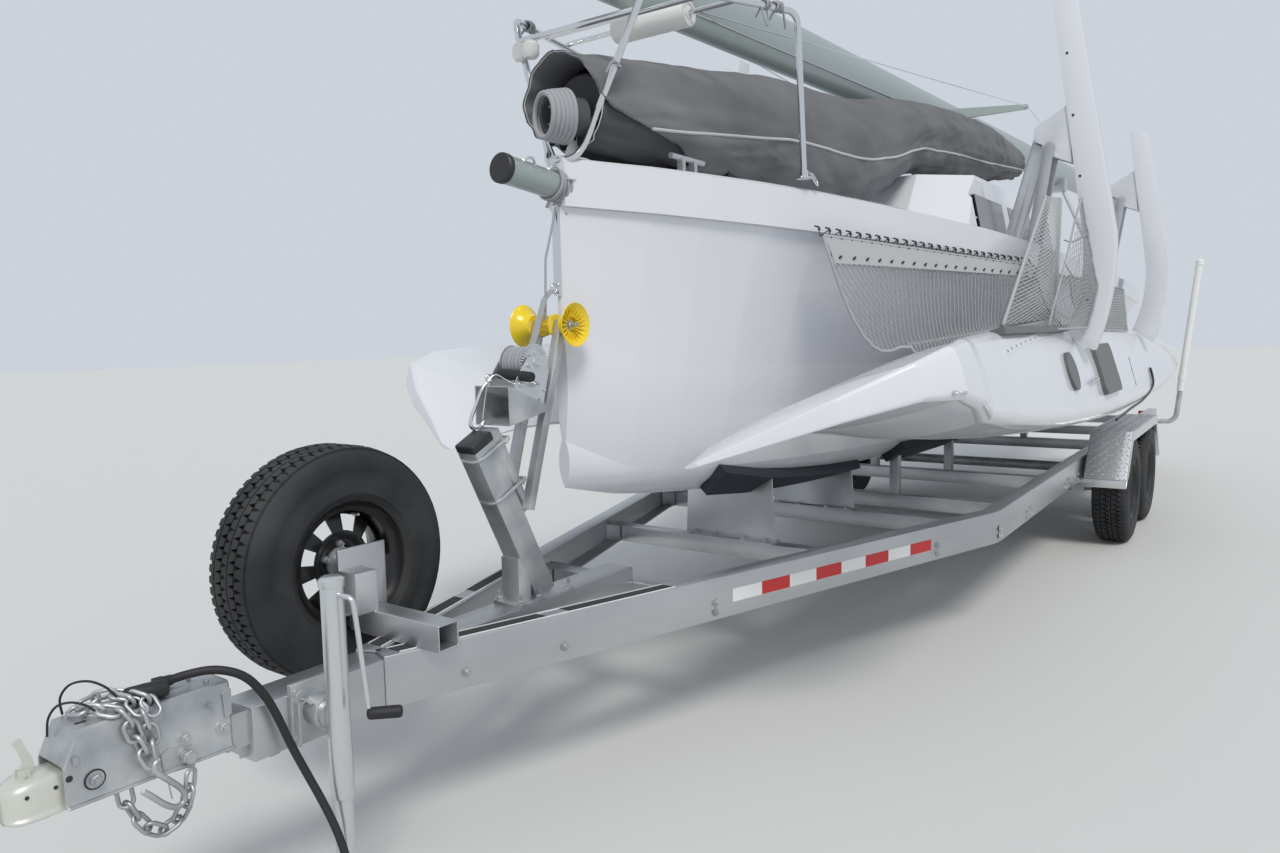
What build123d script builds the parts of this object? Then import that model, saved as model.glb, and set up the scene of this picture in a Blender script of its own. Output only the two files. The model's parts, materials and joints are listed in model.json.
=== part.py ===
from build123d import *
from math import atan2, cos, hypot, radians, sin, tan
import os

# A folding trimaran of about 28 feet, floats folded in, standing on its aluminium trailer.
# Millimetres. +X is forward, +Y is port, +Z is up, and the ground is Z = 0.
# While it is built the stem of the main hull is at X = 0; save() then moves every piece so
# that the origin is under the middle of the whole length.

# Overall lengths
HULL_LENGTH = 8660
MAST_LENGTH = 10850
MAST_FOOT_X = 150
COUPLER_NOSE_X = 1750
ORIGIN_X = (COUPLER_NOSE_X + MAST_FOOT_X - MAST_LENGTH) / 2

# Main hull, heights above the ground as it sits on the bunks
TRANSOM_X = -HULL_LENGTH
HULL_GAP = 0.3
DECK_OVERHANG = 24
CABIN_FLOOR_Z = 1150
CABIN_FRONT_X = -2350
CABIN_AFT_X = -5150
CABIN_ROOF_Z = 2330
CABIN_WALL = 40
COCKPIT_FRONT_X = -5290
COCKPIT_AFT_X = -8250
COCKPIT_SOLE_Z = 1420
COCKPIT_HALF = 430
COMPANIONWAY_HALF = 300

# Folding beams, in the plane across the boat; y and z of their folded places on the port side
BEAM_WIDTH = 132
FRONT_BEAM_X = -3050
AFT_BEAM_X = -5650
FRONT_TIP_Z = 3230
AFT_TIP_Z = 2930
BEAM_TIP_Y = 1000
ELBOW = (1200, 1950)
FOOT = (1135, 1420)
TIP_THICK = 118
ELBOW_THICK = 152
HULL_PIVOT_LOW = (841.5, 1720.3)
HULL_PIVOT_HIGH = (699.7, 1744.7)
BEAM_PIVOT_LOW = (947.3, 2420)
BEAM_PIVOT_HIGH = (916.2, 2485)
PIN_RADIUS = 9
PIN_CLEARANCE = 0.08
OPEN_EYE = (905.9, 2493.7)
OPEN_EYE_CLEARANCE = 19
STRUT_BAR = 12
STRUT_DEPTH = 56
LUG_GAP = 92
LUG_PLATE = 10
RECESS_HALF = 150
RECESS_FLOOR_Z = 1600
RECESS_INNER_Y = 545

# Floats
FLOAT_TILT = 17
FLOAT_DECK = (1140, 1212)
FLOAT_NOSE_X = 40
FLOAT_STERN_X = -8000

# Trailer
TYRE_RADIUS = 360
TYRE_WIDTH = 222
RIM_RADIUS = 192
WHEEL_Y = 1130
FRONT_AXLE_X = -4450
AXLE_SPACING = 860
RAIL_TOP_Z = 600
RAIL_HEIGHT = 150
RAIL_FLANGE = 76
RAIL_WEB = 7
RAIL_Y = 965
RAIL_BEND_X = -2000
RAIL_AFT_X = -8260
TONGUE_X = 850
TONGUE_HALF = 62
ACTUATOR_AFT_X = 1180
JACK_X = 1075
JACK_Y = 165
JACK_TUBE = 28.5
FENDER_TOP_Z = 770
FENDER_SHEET = 4


def save(node, shape):
    """Write one named piece, moved so that the origin is under the middle of the length."""
    solids = [solid.moved(Location((-ORIGIN_X, 0, 0))) for solid in shape.solids()]
    body = solids[0] if len(solids) == 1 else Compound(solids)
    export_step(body, f"parts/{node}.step")


def box(x0, x1, y0, y1, z0, z1):
    """A block between two corners."""
    size = (x1 - x0, y1 - y0, z1 - z0)
    return Pos((x0 + x1) / 2, (y0 + y1) / 2, (z0 + z1) / 2) * Box(*size)


def both(shape):
    """The piece and its mirror image on the starboard side."""
    return Compound(list(shape.solids()) + list(mirror(shape, about=Plane.XZ).solids()))


def rod(start, end, radius):
    """A round bar between two points."""
    path = Vector(*end) - Vector(*start)
    plane = Plane(origin=start, z_dir=path)
    return extrude(plane * Circle(radius), path.length)


def pipe(points, radius, bend, wall=0):
    """A round tube along straight runs, with the same bend at every corner."""
    line = FilletPolyline(*points, radius=bend) if len(points) > 2 else Line(*points)
    section = Plane(origin=line @ 0, z_dir=line % 0) * Circle(radius)
    if wall:
        section -= Plane(origin=line @ 0, z_dir=line % 0) * Circle(radius - wall)
    return sweep(section, path=line)


def bar(start, end, width, height):
    """A square bar between two points in the X Z plane, its width along Y."""
    path = Vector(*end) - Vector(*start)
    plane = Plane(origin=start, x_dir=(0, 1, 0), z_dir=path)
    return extrude(plane * Rectangle(width, height), path.length)


def across(outline, x, half):
    """A flat outline given as (y, z) points, made a plate of half thickness about X = x."""
    points = [(x - half, y, z) for y, z in outline]
    face = make_face(Polyline(*points, close=True))
    return extrude(face, amount=2 * half, dir=(1, 0, 0))


def profile_side(outline, y, half):
    """A flat outline given as (x, z) points, made a plate of half thickness about Y = y."""
    points = [(x, y - half, z) for x, z in outline]
    face = make_face(Polyline(*points, close=True))
    return extrude(face, amount=2 * half, dir=(0, 1, 0))


def pin_x(x0, x1, centre, radius):
    """A round pin along X at (y, z)."""
    return rod((x0, centre[0], centre[1]), (x1, centre[0], centre[1]), radius)


# Sections of the main hull: x, keel z, bilge y and z, topside y and z, sheer y and z, deck z
HULL_SECTIONS = [
    (-4, 935, 8, 1100, 11, 1500, 14, 1900, 2060),
    (-350, 860, 90, 960, 160, 1350, 232, 1880, 2042),
    (-1000, 790, 215, 915, 345, 1330, 500, 1850, 2010),
    (-2100, 735, 310, 870, 500, 1300, 800, 1805, 1945),
    (-3400, 715, 355, 850, 565, 1290, 925, 1762, 1890),
    (-5200, 725, 355, 860, 570, 1290, 930, 1722, 1845),
    (-7000, 790, 335, 915, 560, 1300, 850, 1700, 1822),
    (TRANSOM_X, 930, 280, 1040, 490, 1330, 700, 1690, 1810),
]


def mirrored_face(x, half_edges, top):
    """A closed face across the hull from one half outline, which starts at the keel."""
    edges = []
    for points in half_edges:
        for side in (1, -1):
            place = [(x, side * y, z) for y, z in points]
            edges.append(ThreePointArc(*place) if len(place) == 3 else Line(*place))
    if len(top) == 3:
        edges.append(ThreePointArc(*[(x, y, z) for y, z in top]))
    else:
        edges.append(Line(*[(x, y, z) for y, z in top]))
    return make_face(Curve(children=edges))


def arc_mid(a, b, bulge):
    """A point bulged outward from the middle of a to b, by a share of the distance."""
    my, mz = (a[0] + b[0]) / 2, (a[1] + b[1]) / 2
    dy, dz = b[0] - a[0], b[1] - a[1]
    return (my + dz * bulge, mz - dy * bulge)


def canoe_section(row):
    """Bottom, bilge and topsides of one section, closed along the step under the deck."""
    x, keel, by, bz, ty, tz, sy, sz, _ = row
    bottom = [(0, keel), arc_mid((0, keel), (by, bz), 0.12), (by, bz)]
    side = [(by, bz), arc_mid((by, bz), (ty, tz), 0.04), (ty, tz)]
    flare = [(ty, tz), arc_mid((ty, tz), (sy, sz), -0.02), (sy, sz)]
    return mirrored_face(x, [bottom, side, flare], [(sy, sz), (-sy, sz)])


def deck_section(row):
    """The moulding that caps the hull: a proud band, a turned edge and a cambered deck."""
    x, _, _, _, _, _, sy, sz, dz = row
    out = sy + DECK_OVERHANG
    edge = out - min(0.12 * out, 14)
    base = sz + HULL_GAP
    shoulder = dz - 12
    crown = dz + 10 + 0.045 * edge
    band = [(out, base), (out + 0.02 * sy, shoulder)]
    turn = [(out + 0.02 * sy, shoulder), (edge, dz)]
    face = []
    for side in (1, -1):
        face.append(Line((x, side * band[0][0], base), (x, side * band[1][0], shoulder)))
        face.append(Line((x, side * turn[0][0], shoulder), (x, side * turn[1][0], dz)))
    face.append(Line((x, -out, base), (x, out, base)))
    face.append(ThreePointArc((x, edge, dz), (x, 0, crown), (x, -edge, dz)))
    return make_face(Curve(children=face))


def smooth_value(rows, x, column):
    """A column of a table at any x, on a smooth curve through the rows, first x highest."""
    for k in range(len(rows) - 1):
        if rows[k + 1][0] <= x <= rows[k][0]:
            break
    before, a, b, after = rows[max(k - 1, 0)], rows[k], rows[k + 1], rows[min(k + 2, len(rows) - 1)]
    span = b[0] - a[0]
    slope_a = (b[column] - before[column]) / (b[0] - before[0]) * span
    slope_b = (after[column] - a[column]) / (after[0] - a[0]) * span
    t = (x - a[0]) / span
    low = (2 * t**3 - 3 * t**2 + 1) * a[column] + (t**3 - 2 * t**2 + t) * slope_a
    return low + (3 * t**2 - 2 * t**3) * b[column] + (t**3 - t**2) * slope_b


def smooth_row(rows, x):
    """A whole row of a table at x."""
    return (x, *[smooth_value(rows, x, column) for column in range(1, len(rows[0]))])


def hull_value(x, column):
    """A column of the hull's table at x."""
    return smooth_value(HULL_SECTIONS, x, column)


HULL_STATIONS = [-4, -120, -280, -480, -720, -1000, -1350, -1750, -2200, -2700, -3300, -3900,
                 -4500, -5200, -5900, -6600, -7200, -7800, -8300, TRANSOM_X]


BEAM_PLACES = {"front": (FRONT_BEAM_X, FRONT_TIP_Z), "aft": (AFT_BEAM_X, AFT_TIP_Z)}


def beam_recesses():
    """The four pockets that the inner ends of the beams lie in when the floats are out."""
    cuts = []
    for x, _ in BEAM_PLACES.values():
        for side in (1, -1):
            y0, y1 = sorted((side * RECESS_INNER_Y, side * 1200))
            cuts.append(box(x - RECESS_HALF, x + RECESS_HALF, y0, y1, RECESS_FLOOR_Z, 2300))
    return cuts


def cabin_space(grow=0):
    """The hollow of the cabin under the roof, from its floor up."""
    top = CABIN_ROOF_Z - CABIN_WALL
    side = [
        (CABIN_FRONT_X - 120, CABIN_FLOOR_Z),
        (CABIN_FRONT_X - 120, 1850),
        (CABIN_FRONT_X - 560, top - 40),
        (CABIN_AFT_X + CABIN_WALL, top),
        (CABIN_AFT_X + CABIN_WALL, CABIN_FLOOR_Z),
    ]
    return profile_side(side, 0, 430 + grow)


def make_main_hull():
    hull = loft([canoe_section(smooth_row(HULL_SECTIONS, x)) for x in HULL_STATIONS], ruled=True)
    for cut in beam_recesses():
        hull -= cut
    hull -= cabin_space()
    sole_half = COCKPIT_HALF + 2
    hull -= box(COCKPIT_AFT_X, COCKPIT_FRONT_X, -sole_half, sole_half, COCKPIT_SOLE_Z, 1900)
    opening = (CABIN_AFT_X - 200, CABIN_AFT_X + 200)
    hull -= box(*opening, -COMPANIONWAY_HALF, COMPANIONWAY_HALF, COCKPIT_SOLE_Z + 120, 1900)
    return hull


def cabin_trunk():
    """The raised cabin top, its sides leaning in and its front raked."""
    base_half, roof_half = 640, 540
    low, high = 1830, CABIN_ROOF_Z
    plans = [
        (low, base_half, CABIN_FRONT_X + 60, CABIN_AFT_X),
        (high, roof_half, CABIN_FRONT_X - 430, CABIN_AFT_X),
    ]
    faces = []
    for z, half, front, aft in plans:
        corners = [(front, half * 0.55), (front - 260, half), (aft, half)]
        outline = [(x, y) for x, y in corners] + [(x, -y) for x, y in reversed(corners)]
        faces.append(make_face(Polyline(*[(x, y, z) for x, y in outline], close=True)))
    return loft(faces, ruled=True)


WINDOW_Z = (1985, 2215)
WINDOW_X = [(-2960, -3560), (-3700, -4300), (-4440, -4900)]


def trunk_side_y(z):
    """Half breadth of the cabin trunk's side at a height."""
    return 640 - 100 * (z - 1830) / (CABIN_ROOF_Z - 1830)


def window_blocks(inner, outer, margin):
    """Panes or their cuts in the cabin sides, from one row of places."""
    low, high = WINDOW_Z[0] - margin, WINDOW_Z[1] + margin
    blocks = []
    for front, aft in WINDOW_X:
        outline = [
            (trunk_side_y(low) - inner, low),
            (trunk_side_y(low) + outer, low),
            (trunk_side_y(high) + outer, high),
            (trunk_side_y(high) - inner, high),
        ]
        middle, half = (front + aft) / 2, (front - aft) / 2 + margin
        blocks.append(across(outline, middle, half))
    return blocks


def make_deck_moulding():
    deck = loft([deck_section(smooth_row(HULL_SECTIONS, x)) for x in HULL_STATIONS], ruled=True)
    deck = deck + cabin_trunk()
    for cut in beam_recesses():
        deck -= cut
    deck -= cabin_space()
    side_room = box(CABIN_AFT_X + CABIN_WALL, CABIN_FRONT_X - 620, -500, 500, 1900, 2290)
    deck -= side_room
    deck -= box(COCKPIT_AFT_X, COCKPIT_FRONT_X, -COCKPIT_HALF, COCKPIT_HALF, 1400, 2000)
    deck -= box(CABIN_AFT_X - 300, CABIN_AFT_X + 460, -COMPANIONWAY_HALF,
                COMPANIONWAY_HALF, 1400, 2600)
    for pane in window_blocks(200, 60, 0):
        deck -= pane
        deck -= mirror(pane, about=Plane.XZ)
    coaming = box(COCKPIT_AFT_X, COCKPIT_FRONT_X, COCKPIT_HALF + 10, COCKPIT_HALF + 70, 1820, 1960)
    runner = box(CABIN_AFT_X, CABIN_AFT_X + 1080, 351, 375, CABIN_ROOF_Z - 2, CABIN_ROOF_Z + 26)
    for rail in (coaming, runner):
        deck = deck + rail + mirror(rail, about=Plane.XZ)
    return deck


DECK = make_deck_moulding()


def make_cabin_windows():
    return both(Compound(window_blocks(6, 2, -HULL_GAP)))


HATCH_X = (CABIN_AFT_X - 20, CABIN_AFT_X + 480)
HATCH_Z = CABIN_ROOF_Z + HULL_GAP


def make_companion_hatch():
    lid = box(HATCH_X[0], HATCH_X[1], -345, 345, HATCH_Z, HATCH_Z + 38)
    lid = fillet(lid.edges().filter_by(Axis.Z), 40)
    return fillet(lid.edges().group_by(Axis.Z)[-1], 12)


def make_washboard():
    half = COMPANIONWAY_HALF - HULL_GAP
    base = COCKPIT_SOLE_Z + 120 + HULL_GAP
    return box(CABIN_AFT_X + 6, CABIN_AFT_X + 26, -half, half, base, CABIN_ROOF_Z - 2)


# Bow gear
SPRIT_RADIUS = 46
SPRIT_Z = 1965


def make_sprit_tube():
    tube = rod((-25, 0, SPRIT_Z + 28), (265, 0, SPRIT_Z - 10), SPRIT_RADIUS)
    return tube - DECK - make_main_hull()


# Height of the axle, above the foredeck, that the mast's roller turns on
ROLLER_AXLE_Z = 2654
# The pulpit's inner leg, from the deck to its rail
PULPIT_LEG = [(-75, 100, 2040), (-130, 300, 2490)]
PULPIT_RADIUS = 13


def make_pulpit():
    """Bow rail, the hoops abaft it and the mast roller's axle, standing on the deck."""
    r = PULPIT_RADIUS
    rail = [(8, 42, 2050), (170, 90, 2440), (60, 265, 2475), (-560, 352, 2600)]
    hoop = [(-560, 352, 2600), (-835, 385, 2645), (-872, 478, 2000)]
    port = pipe(rail, r, 45) + pipe(hoop, r, 70)
    port = port + rod(*PULPIT_LEG, r)
    port = port + rod((-600, 357, 2600), (-600, 357, ROLLER_AXLE_Z), 12)
    bridge = rod((165, -90, 2436), (165, 90, 2436), r)
    axle = rod((-600, -362, ROLLER_AXLE_Z), (-600, 362, ROLLER_AXLE_Z), 10)
    return port + mirror(port, about=Plane.XZ) + bridge + axle - DECK


def make_bow_fitting():
    low, high = 1600, SPRIT_Z - 24
    plate = profile_side([(-3.8, low), (9, low), (9, high), (-3.8, high)], 0, 12)
    eye = Pos(22, 0, 1625) * Rot(90, 0, 0) * Torus(14, 5)
    return plate + eye


# Mast: a wing section lying on its edge, its foot forward, with a small rise aft
MAST_CHORD = 270
MAST_THICK = 126
MAST_WALL = 4
MAST_Y = -80
MAST_RISE = 2.1
MAST_LOW_Z = 2702


def mast_frame():
    """Plane across the mast at its foot, x across and y up the chord."""
    rise = tan(radians(MAST_RISE)) * (MAST_FOOT_X + 600)
    origin = (MAST_FOOT_X, MAST_Y, MAST_LOW_Z - rise + MAST_CHORD / 2)
    return Plane(origin=origin, x_dir=(0, 1, 0), z_dir=(-cos(radians(MAST_RISE)), 0,
                                                        sin(radians(MAST_RISE))))


def make_mast():
    plane = mast_frame()
    outline = plane * Ellipse(MAST_THICK / 2, MAST_CHORD / 2)
    outline -= plane * Ellipse(MAST_THICK / 2 - MAST_WALL, MAST_CHORD / 2 - MAST_WALL)
    rise = radians(MAST_RISE)
    return extrude(outline, (MAST_LENGTH - MAST_CHORD / 2 * sin(rise)) / cos(rise))


def mast_underside(x):
    """Height of the mast's lower edge at x."""
    return MAST_LOW_Z + (-600 - x) * tan(radians(MAST_RISE))


SPREADER_X = -4300


def make_spreaders():
    z = mast_underside(SPREADER_X) + MAST_CHORD / 2
    arm = loft([
        Plane(origin=(SPREADER_X, MAST_Y + MAST_THICK / 2 + HULL_GAP, z), z_dir=(0, 1, 0))
        * Rectangle(80, 22),
        Plane(origin=(SPREADER_X - 260, MAST_Y + 560, z + 30), z_dir=(0, 1, 0))
        * Rectangle(34, 14),
    ])
    other = mirror(arm, about=Plane((0, MAST_Y, 0), z_dir=(0, 1, 0)))
    return Compound([arm, other])


def make_mast_roller():
    z = ROLLER_AXLE_Z
    return rod((-600, -165, z), (-600, 165, z), 47.6) - rod((-600, -170, z), (-600, 170, z), 10.1)


def make_mast_crutch():
    """Two raking legs on the after deck and a saddle shaped to the mast."""
    x, foot = -8450, 1790
    top = mast_underside(x)
    port, stbd = [rod((x, side * 480, foot), (x, MAST_Y + side * 60, top - 50), 19)
                  for side in (1, -1)]
    saddle = box(x - 60, x + 60, MAST_Y - 95, MAST_Y + 95, top - 76, top + 60)
    return port + stbd + saddle - DECK - make_mast()


# Rolled mainsail on its boom, under a cover, laid along the deck
# x, y and z of the middle, half width, half height
COVER_SECTIONS = [
    (-45, 10, 2243, 148, 168), (-350, 26, 2268, 180, 192), (-1300, 80, 2318, 213, 256),
    (-2100, 110, 2387, 224, 312), (-2900, 125, 2602, 213, 234), (-4300, 130, 2700, 205, 215),
    (-5600, 130, 2790, 110, 120),
]
COVER_STATIONS = [-45, -190, -350, -800, -1300, -1700, -2100, -2500, -2900, -3600, -4300, -5000,
                  -5600]
COVER_CLOTH = 12
ROLL_MOUTH = 260


def cover_ring(x, inset):
    """Outline of the rolled sail's cover at x, or the room inside it."""
    _, y, z, half, high = smooth_row(COVER_SECTIONS, x)
    place = Plane(origin=(x, y, z), x_dir=(0, 1, 0), z_dir=(-1, 0, 0))
    return place * Ellipse(half - inset, high - inset)


def make_sail_cover():
    cover = loft([cover_ring(x, 0) for x in COVER_STATIONS], ruled=True)
    mouth_x = COVER_SECTIONS[0][0]
    mouth = loft([cover_ring(x, COVER_CLOTH) for x in (mouth_x, mouth_x - ROLL_MOUTH)],
                 ruled=True)
    leg_room = rod(*PULPIT_LEG, PULPIT_RADIUS + HULL_GAP)
    return cover - mouth - leg_room - Pos(0, 0, HULL_GAP) * DECK


def make_sail_roll():
    """The roll's end: a drum of cloth and the rim that the lashings are wound on."""
    x = COVER_SECTIONS[0][0]
    _, y, z, _, _ = smooth_row(COVER_SECTIONS, x - ROLL_MOUTH / 2)
    back = x - ROLL_MOUTH + HULL_GAP
    drum = rod((back, y, z), (x - 60, y, z), 88)
    return drum + rod((x - 60, y, z), (x - 48, y, z), 112)


CHOCK_X = [-900, -1700, -3900]


def make_boom_chocks():
    """Blocks that carry the rolled sail off the foredeck."""
    cover = make_sail_cover()
    chocks = []
    for x in CHOCK_X:
        _, y, z, half, _ = smooth_row(COVER_SECTIONS, x)
        block = box(x - 40, x + 40, y - 0.6 * half, y + 0.6 * half, 1950, z) - cover - DECK
        chocks.append(block.solids().sort_by(Axis.Z)[-1])
    return Compound(chocks)


CLEATS = [(-480, 225), (-7650, 640)]


def make_cleats():
    port = []
    for x, y in CLEATS:
        top = hull_value(x, 8) + 60
        feet = [box(x + s - 10, x + s + 10, y - 12, y + 12, top - 90, top) for s in (-40, 40)]
        horn = rod((x - 110, y, top), (x + 110, y, top), 10)
        port.append((feet[0] + feet[1] + horn - DECK).solids().sort_by(Axis.Z)[-1])
    return both(Compound(port))


# Rudder hung on the transom, lifted clear of the ground
RUDDER_PIVOT_X = TRANSOM_X - 95
GUDGEON_Z = (1560, 1780)
GUDGEON_EYE = 36
STOCK_RADIUS = 20


def make_rudder():
    x = RUDDER_PIVOT_X
    outline = [(x - 8, 1960), (x - 8, 1470), (x + 36, 1430), (x + 12, 960), (x - 210, 900),
               (x - 300, 1300), (x - 250, 1700), (x - 90, 1960)]
    blade = profile_side(outline, 0, 22)
    for z in GUDGEON_Z:
        blade -= rod((x, 0, z - 18), (x, 0, z + 18), GUDGEON_EYE + 6)
    stock = rod((x, 0, 1440), (x, 0, 1985), STOCK_RADIUS)
    tiller = bar((x, 0, 1980), (x + 1150, 0, 2110), 38, 44)
    return blade + stock + tiller


def make_gudgeons():
    x = RUDDER_PIVOT_X
    parts = []
    for z in GUDGEON_Z:
        arm = box(x, TRANSOM_X - HULL_GAP, -GUDGEON_EYE, GUDGEON_EYE, z - 12, z + 12)
        arm = arm + rod((x, 0, z - 12), (x, 0, z + 12), GUDGEON_EYE)
        parts.append(arm - rod((x, 0, z - 20), (x, 0, z + 20), STOCK_RADIUS + PIN_CLEARANCE))
    return Compound(parts)


OUTBOARD_PAD = (TRANSOM_X - 60, TRANSOM_X - HULL_GAP, -520, -260, 1350, 1660)


def make_outboard_bracket():
    return box(*OUTBOARD_PAD)


# Floats, in their own frame: w across the float, d down from the deck. Folded, d points
# inboard and a little down, and w points up.
INWARD = (-cos(radians(FLOAT_TILT)), -sin(radians(FLOAT_TILT)))
UPWARD = (-sin(radians(FLOAT_TILT)), cos(radians(FLOAT_TILT)))

# x, half width, deck depth at the tip, keel depth, shift up
FLOAT_SECTIONS = [
    (FLOAT_NOSE_X, 6, 590, 640, 20),
    (-330, 62, -60, 672, 88),
    (-1100, 165, -22, 680, 62),
    (-2300, 244, -4, 680, 25),
    (-4000, 268, 0, 680, -20),
    (-5900, 240, 0, 640, -45),
    (-7300, 168, 4, 540, -60),
    (FLOAT_STERN_X, 96, 20, 400, -66),
]


def float_point(x, w, d, shift):
    """A point of the port float at x, from its own w and d."""
    y = FLOAT_DECK[0] + d * INWARD[0] + (w + shift) * UPWARD[0]
    z = FLOAT_DECK[1] + d * INWARD[1] + (w + shift) * UPWARD[1]
    return (x, y, z)


def float_face(x, half, deck, keel, shift):
    depth = keel - deck
    gunwale = min(0.16 * depth, 0.5 * half)
    shapes = []
    for side in (1, -1):
        def at(w, d):
            return float_point(x, side * w, d, shift)
        corner = at(0.97 * half, deck + 0.25 * gunwale)
        shapes.append(ThreePointArc(at(0.72 * half, deck), corner, at(half, deck + gunwale)))
        shapes.append(ThreePointArc(at(half, deck + gunwale), at(0.86 * half, deck + 0.55 * depth),
                                    at(0.06 * half, keel)))
    shapes.append(Line(float_point(x, 0.06 * half, keel, shift),
                       float_point(x, -0.06 * half, keel, shift)))
    shapes.append(ThreePointArc(float_point(x, 0.72 * half, deck, shift),
                                float_point(x, 0, deck - 0.05 * half, shift),
                                float_point(x, -0.72 * half, deck, shift)))
    return make_face(Curve(children=shapes))


FLOAT_STATIONS = [FLOAT_NOSE_X, -50, -160, -300, -480, -700, -1000, -1400, -1850, -2400, -3000,
                  -3600, -4200, -4900, -5600, -6200, -6800, -7300, -7700, FLOAT_STERN_X]


def make_float():
    faces = [float_face(*smooth_row(FLOAT_SECTIONS, x)) for x in FLOAT_STATIONS]
    return loft(faces, ruled=True)


def float_place(x, w, d):
    """A plane on the port float's deck at x, z pointing out of the deck."""
    shift = smooth_value(FLOAT_SECTIONS, x, 4)
    return Plane(origin=float_point(x, w, d, shift), x_dir=(1, 0, 0),
                 z_dir=(0, -INWARD[0], -INWARD[1]))


def make_float_fittings():
    """Round port, hatch coaming and the net track of the port float."""
    port = extrude(float_place(-2620, 0, 12) * Circle(100), 42)
    hatch = extrude(float_place(-3640, 0, 12) * RectangleRounded(560, 300, 60), 46)
    track = extrude(float_place(-2150, 212, 30) * Rectangle(1300, 30), 60)
    hull = make_float()
    fittings = [(piece - hull).solids().sort_by(Axis.Y)[-1] for piece in (port, hatch, track)]
    return Compound(fittings)


# Beams with the lugs that take the struts
def beam_outline(tip_z):
    """The beam from the side it shows from ahead: straight, then curved in to its foot."""
    lean = (ELBOW[0] - BEAM_TIP_Y) / (FRONT_TIP_Z - ELBOW[1])
    tip_y = ELBOW[0] - (tip_z - ELBOW[1]) * lean
    a, b = TIP_THICK / 2, ELBOW_THICK / 2
    inner = [(tip_y - a, tip_z), (ELBOW[0] - b, ELBOW[1])]
    outer = [(tip_y + a, tip_z - 30), (ELBOW[0] + b, ELBOW[1])]
    return inner, outer


def make_beam(name):
    x, tip_z = BEAM_PLACES[name]
    inner, outer = beam_outline(tip_z)
    half = BEAM_WIDTH / 2
    foot_in, foot_out = (FOOT[0] - 85, FOOT[1]), (FOOT[0] + 55, FOOT[1] - 90)
    mid_in = (ELBOW[0] - 82, 1660)
    mid_out = (ELBOW[0] + 64, 1640)
    edges = [
        Line((x - half, *inner[0]), (x - half, *inner[1])),
        ThreePointArc((x - half, *inner[1]), (x - half, *mid_in), (x - half, *foot_in)),
        Line((x - half, *foot_in), (x - half, *foot_out)),
        ThreePointArc((x - half, *foot_out), (x - half, *mid_out), (x - half, *outer[1])),
        Line((x - half, *outer[1]), (x - half, *outer[0])),
        Line((x - half, *outer[0]), (x - half, *inner[0])),
    ]
    beam = extrude(make_face(Curve(children=edges)), amount=BEAM_WIDTH, dir=(1, 0, 0))
    beam = beam - make_float()
    beam = beam.solids().sort_by(Axis.Z)[-1]
    low, high = BEAM_PIVOT_LOW, BEAM_PIVOT_HIGH
    eye = PIN_RADIUS + 26
    lug_outline = [(1060, 2330), (low[0] - eye, low[1] - eye * 0.7), (low[0] - eye, low[1] + 20),
                   (high[0] - eye - 14, high[1] - 20), (high[0] - eye - 14, high[1] + eye + 16),
                   (1040, 2640)]
    for side in (1, -1):
        place = x + side * (LUG_GAP / 2 + LUG_PLATE / 2)
        beam = beam + across(lug_outline, place, LUG_PLATE / 2)
    reach = LUG_GAP + 4 * LUG_PLATE
    beam = beam - pin_x(x - reach, x + reach, low, PIN_RADIUS + PIN_CLEARANCE)
    beam = beam + pin_x(x - LUG_GAP / 2 - LUG_PLATE, x + LUG_GAP / 2 + LUG_PLATE, high, PIN_RADIUS)
    return beam


def strut_plate(start, end, x, half, depth, hole_a, hole_b):
    """A flat bar with round ends between two pivots, with a hole at each."""
    length = hypot(end[0] - start[0], end[1] - start[1])
    along = ((end[0] - start[0]) / length, (end[1] - start[1]) / length)
    plane = Plane(origin=(x - half, *start), x_dir=(0, *along), z_dir=(1, 0, 0))
    outline = plane * Pos(length / 2, 0) * SlotCenterToCenter(length, depth)
    plate = extrude(outline, 2 * half)
    for centre, hole in ((start, hole_a), (end, hole_b)):
        if hole:
            plate -= pin_x(x - half - 5, x + half + 5, centre, hole)
    return plate


LOWER_STRUT_OFFSET = LUG_GAP / 2 + LUG_PLATE + 6 + STRUT_BAR / 2
LOWER_PIN_START = LUG_GAP / 2 + LUG_PLATE


def make_lower_struts():
    pieces = []
    for x, _ in BEAM_PLACES.values():
        pair = None
        for side in (1, -1):
            place = x + side * LOWER_STRUT_OFFSET
            plate = strut_plate(HULL_PIVOT_LOW, BEAM_PIVOT_LOW, place, STRUT_BAR / 2,
                                STRUT_DEPTH, PIN_RADIUS + PIN_CLEARANCE, 0)
            pair = plate if pair is None else pair + plate
        reach = LOWER_STRUT_OFFSET + STRUT_BAR / 2
        pieces.append(pair + pin_x(x - reach, x + reach, BEAM_PIVOT_LOW, PIN_RADIUS))
    return Compound([s for piece in pieces for s in piece.solids()])


def make_upper_struts():
    pieces = []
    half = LUG_GAP / 2 - 12
    for x, _ in BEAM_PLACES.values():
        plate = strut_plate(HULL_PIVOT_HIGH, OPEN_EYE, x, half, 78,
                            PIN_RADIUS + PIN_CLEARANCE, PIN_RADIUS + OPEN_EYE_CLEARANCE)
        pieces.append(plate)
    return Compound(pieces)


def make_strut_pins():
    """Pins in the recess walls that the struts swing on; the lower ones leave the middle open."""
    pins = []
    reach = RECESS_HALF - HULL_GAP
    for x, _ in BEAM_PLACES.values():
        pins.append(pin_x(x - reach, x + reach, HULL_PIVOT_HIGH, PIN_RADIUS))
        pins.append(pin_x(x - reach, x - LOWER_PIN_START, HULL_PIVOT_LOW, PIN_RADIUS))
        pins.append(pin_x(x + LOWER_PIN_START, x + reach, HULL_PIVOT_LOW, PIN_RADIUS))
    return both(Compound(pins))


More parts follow.
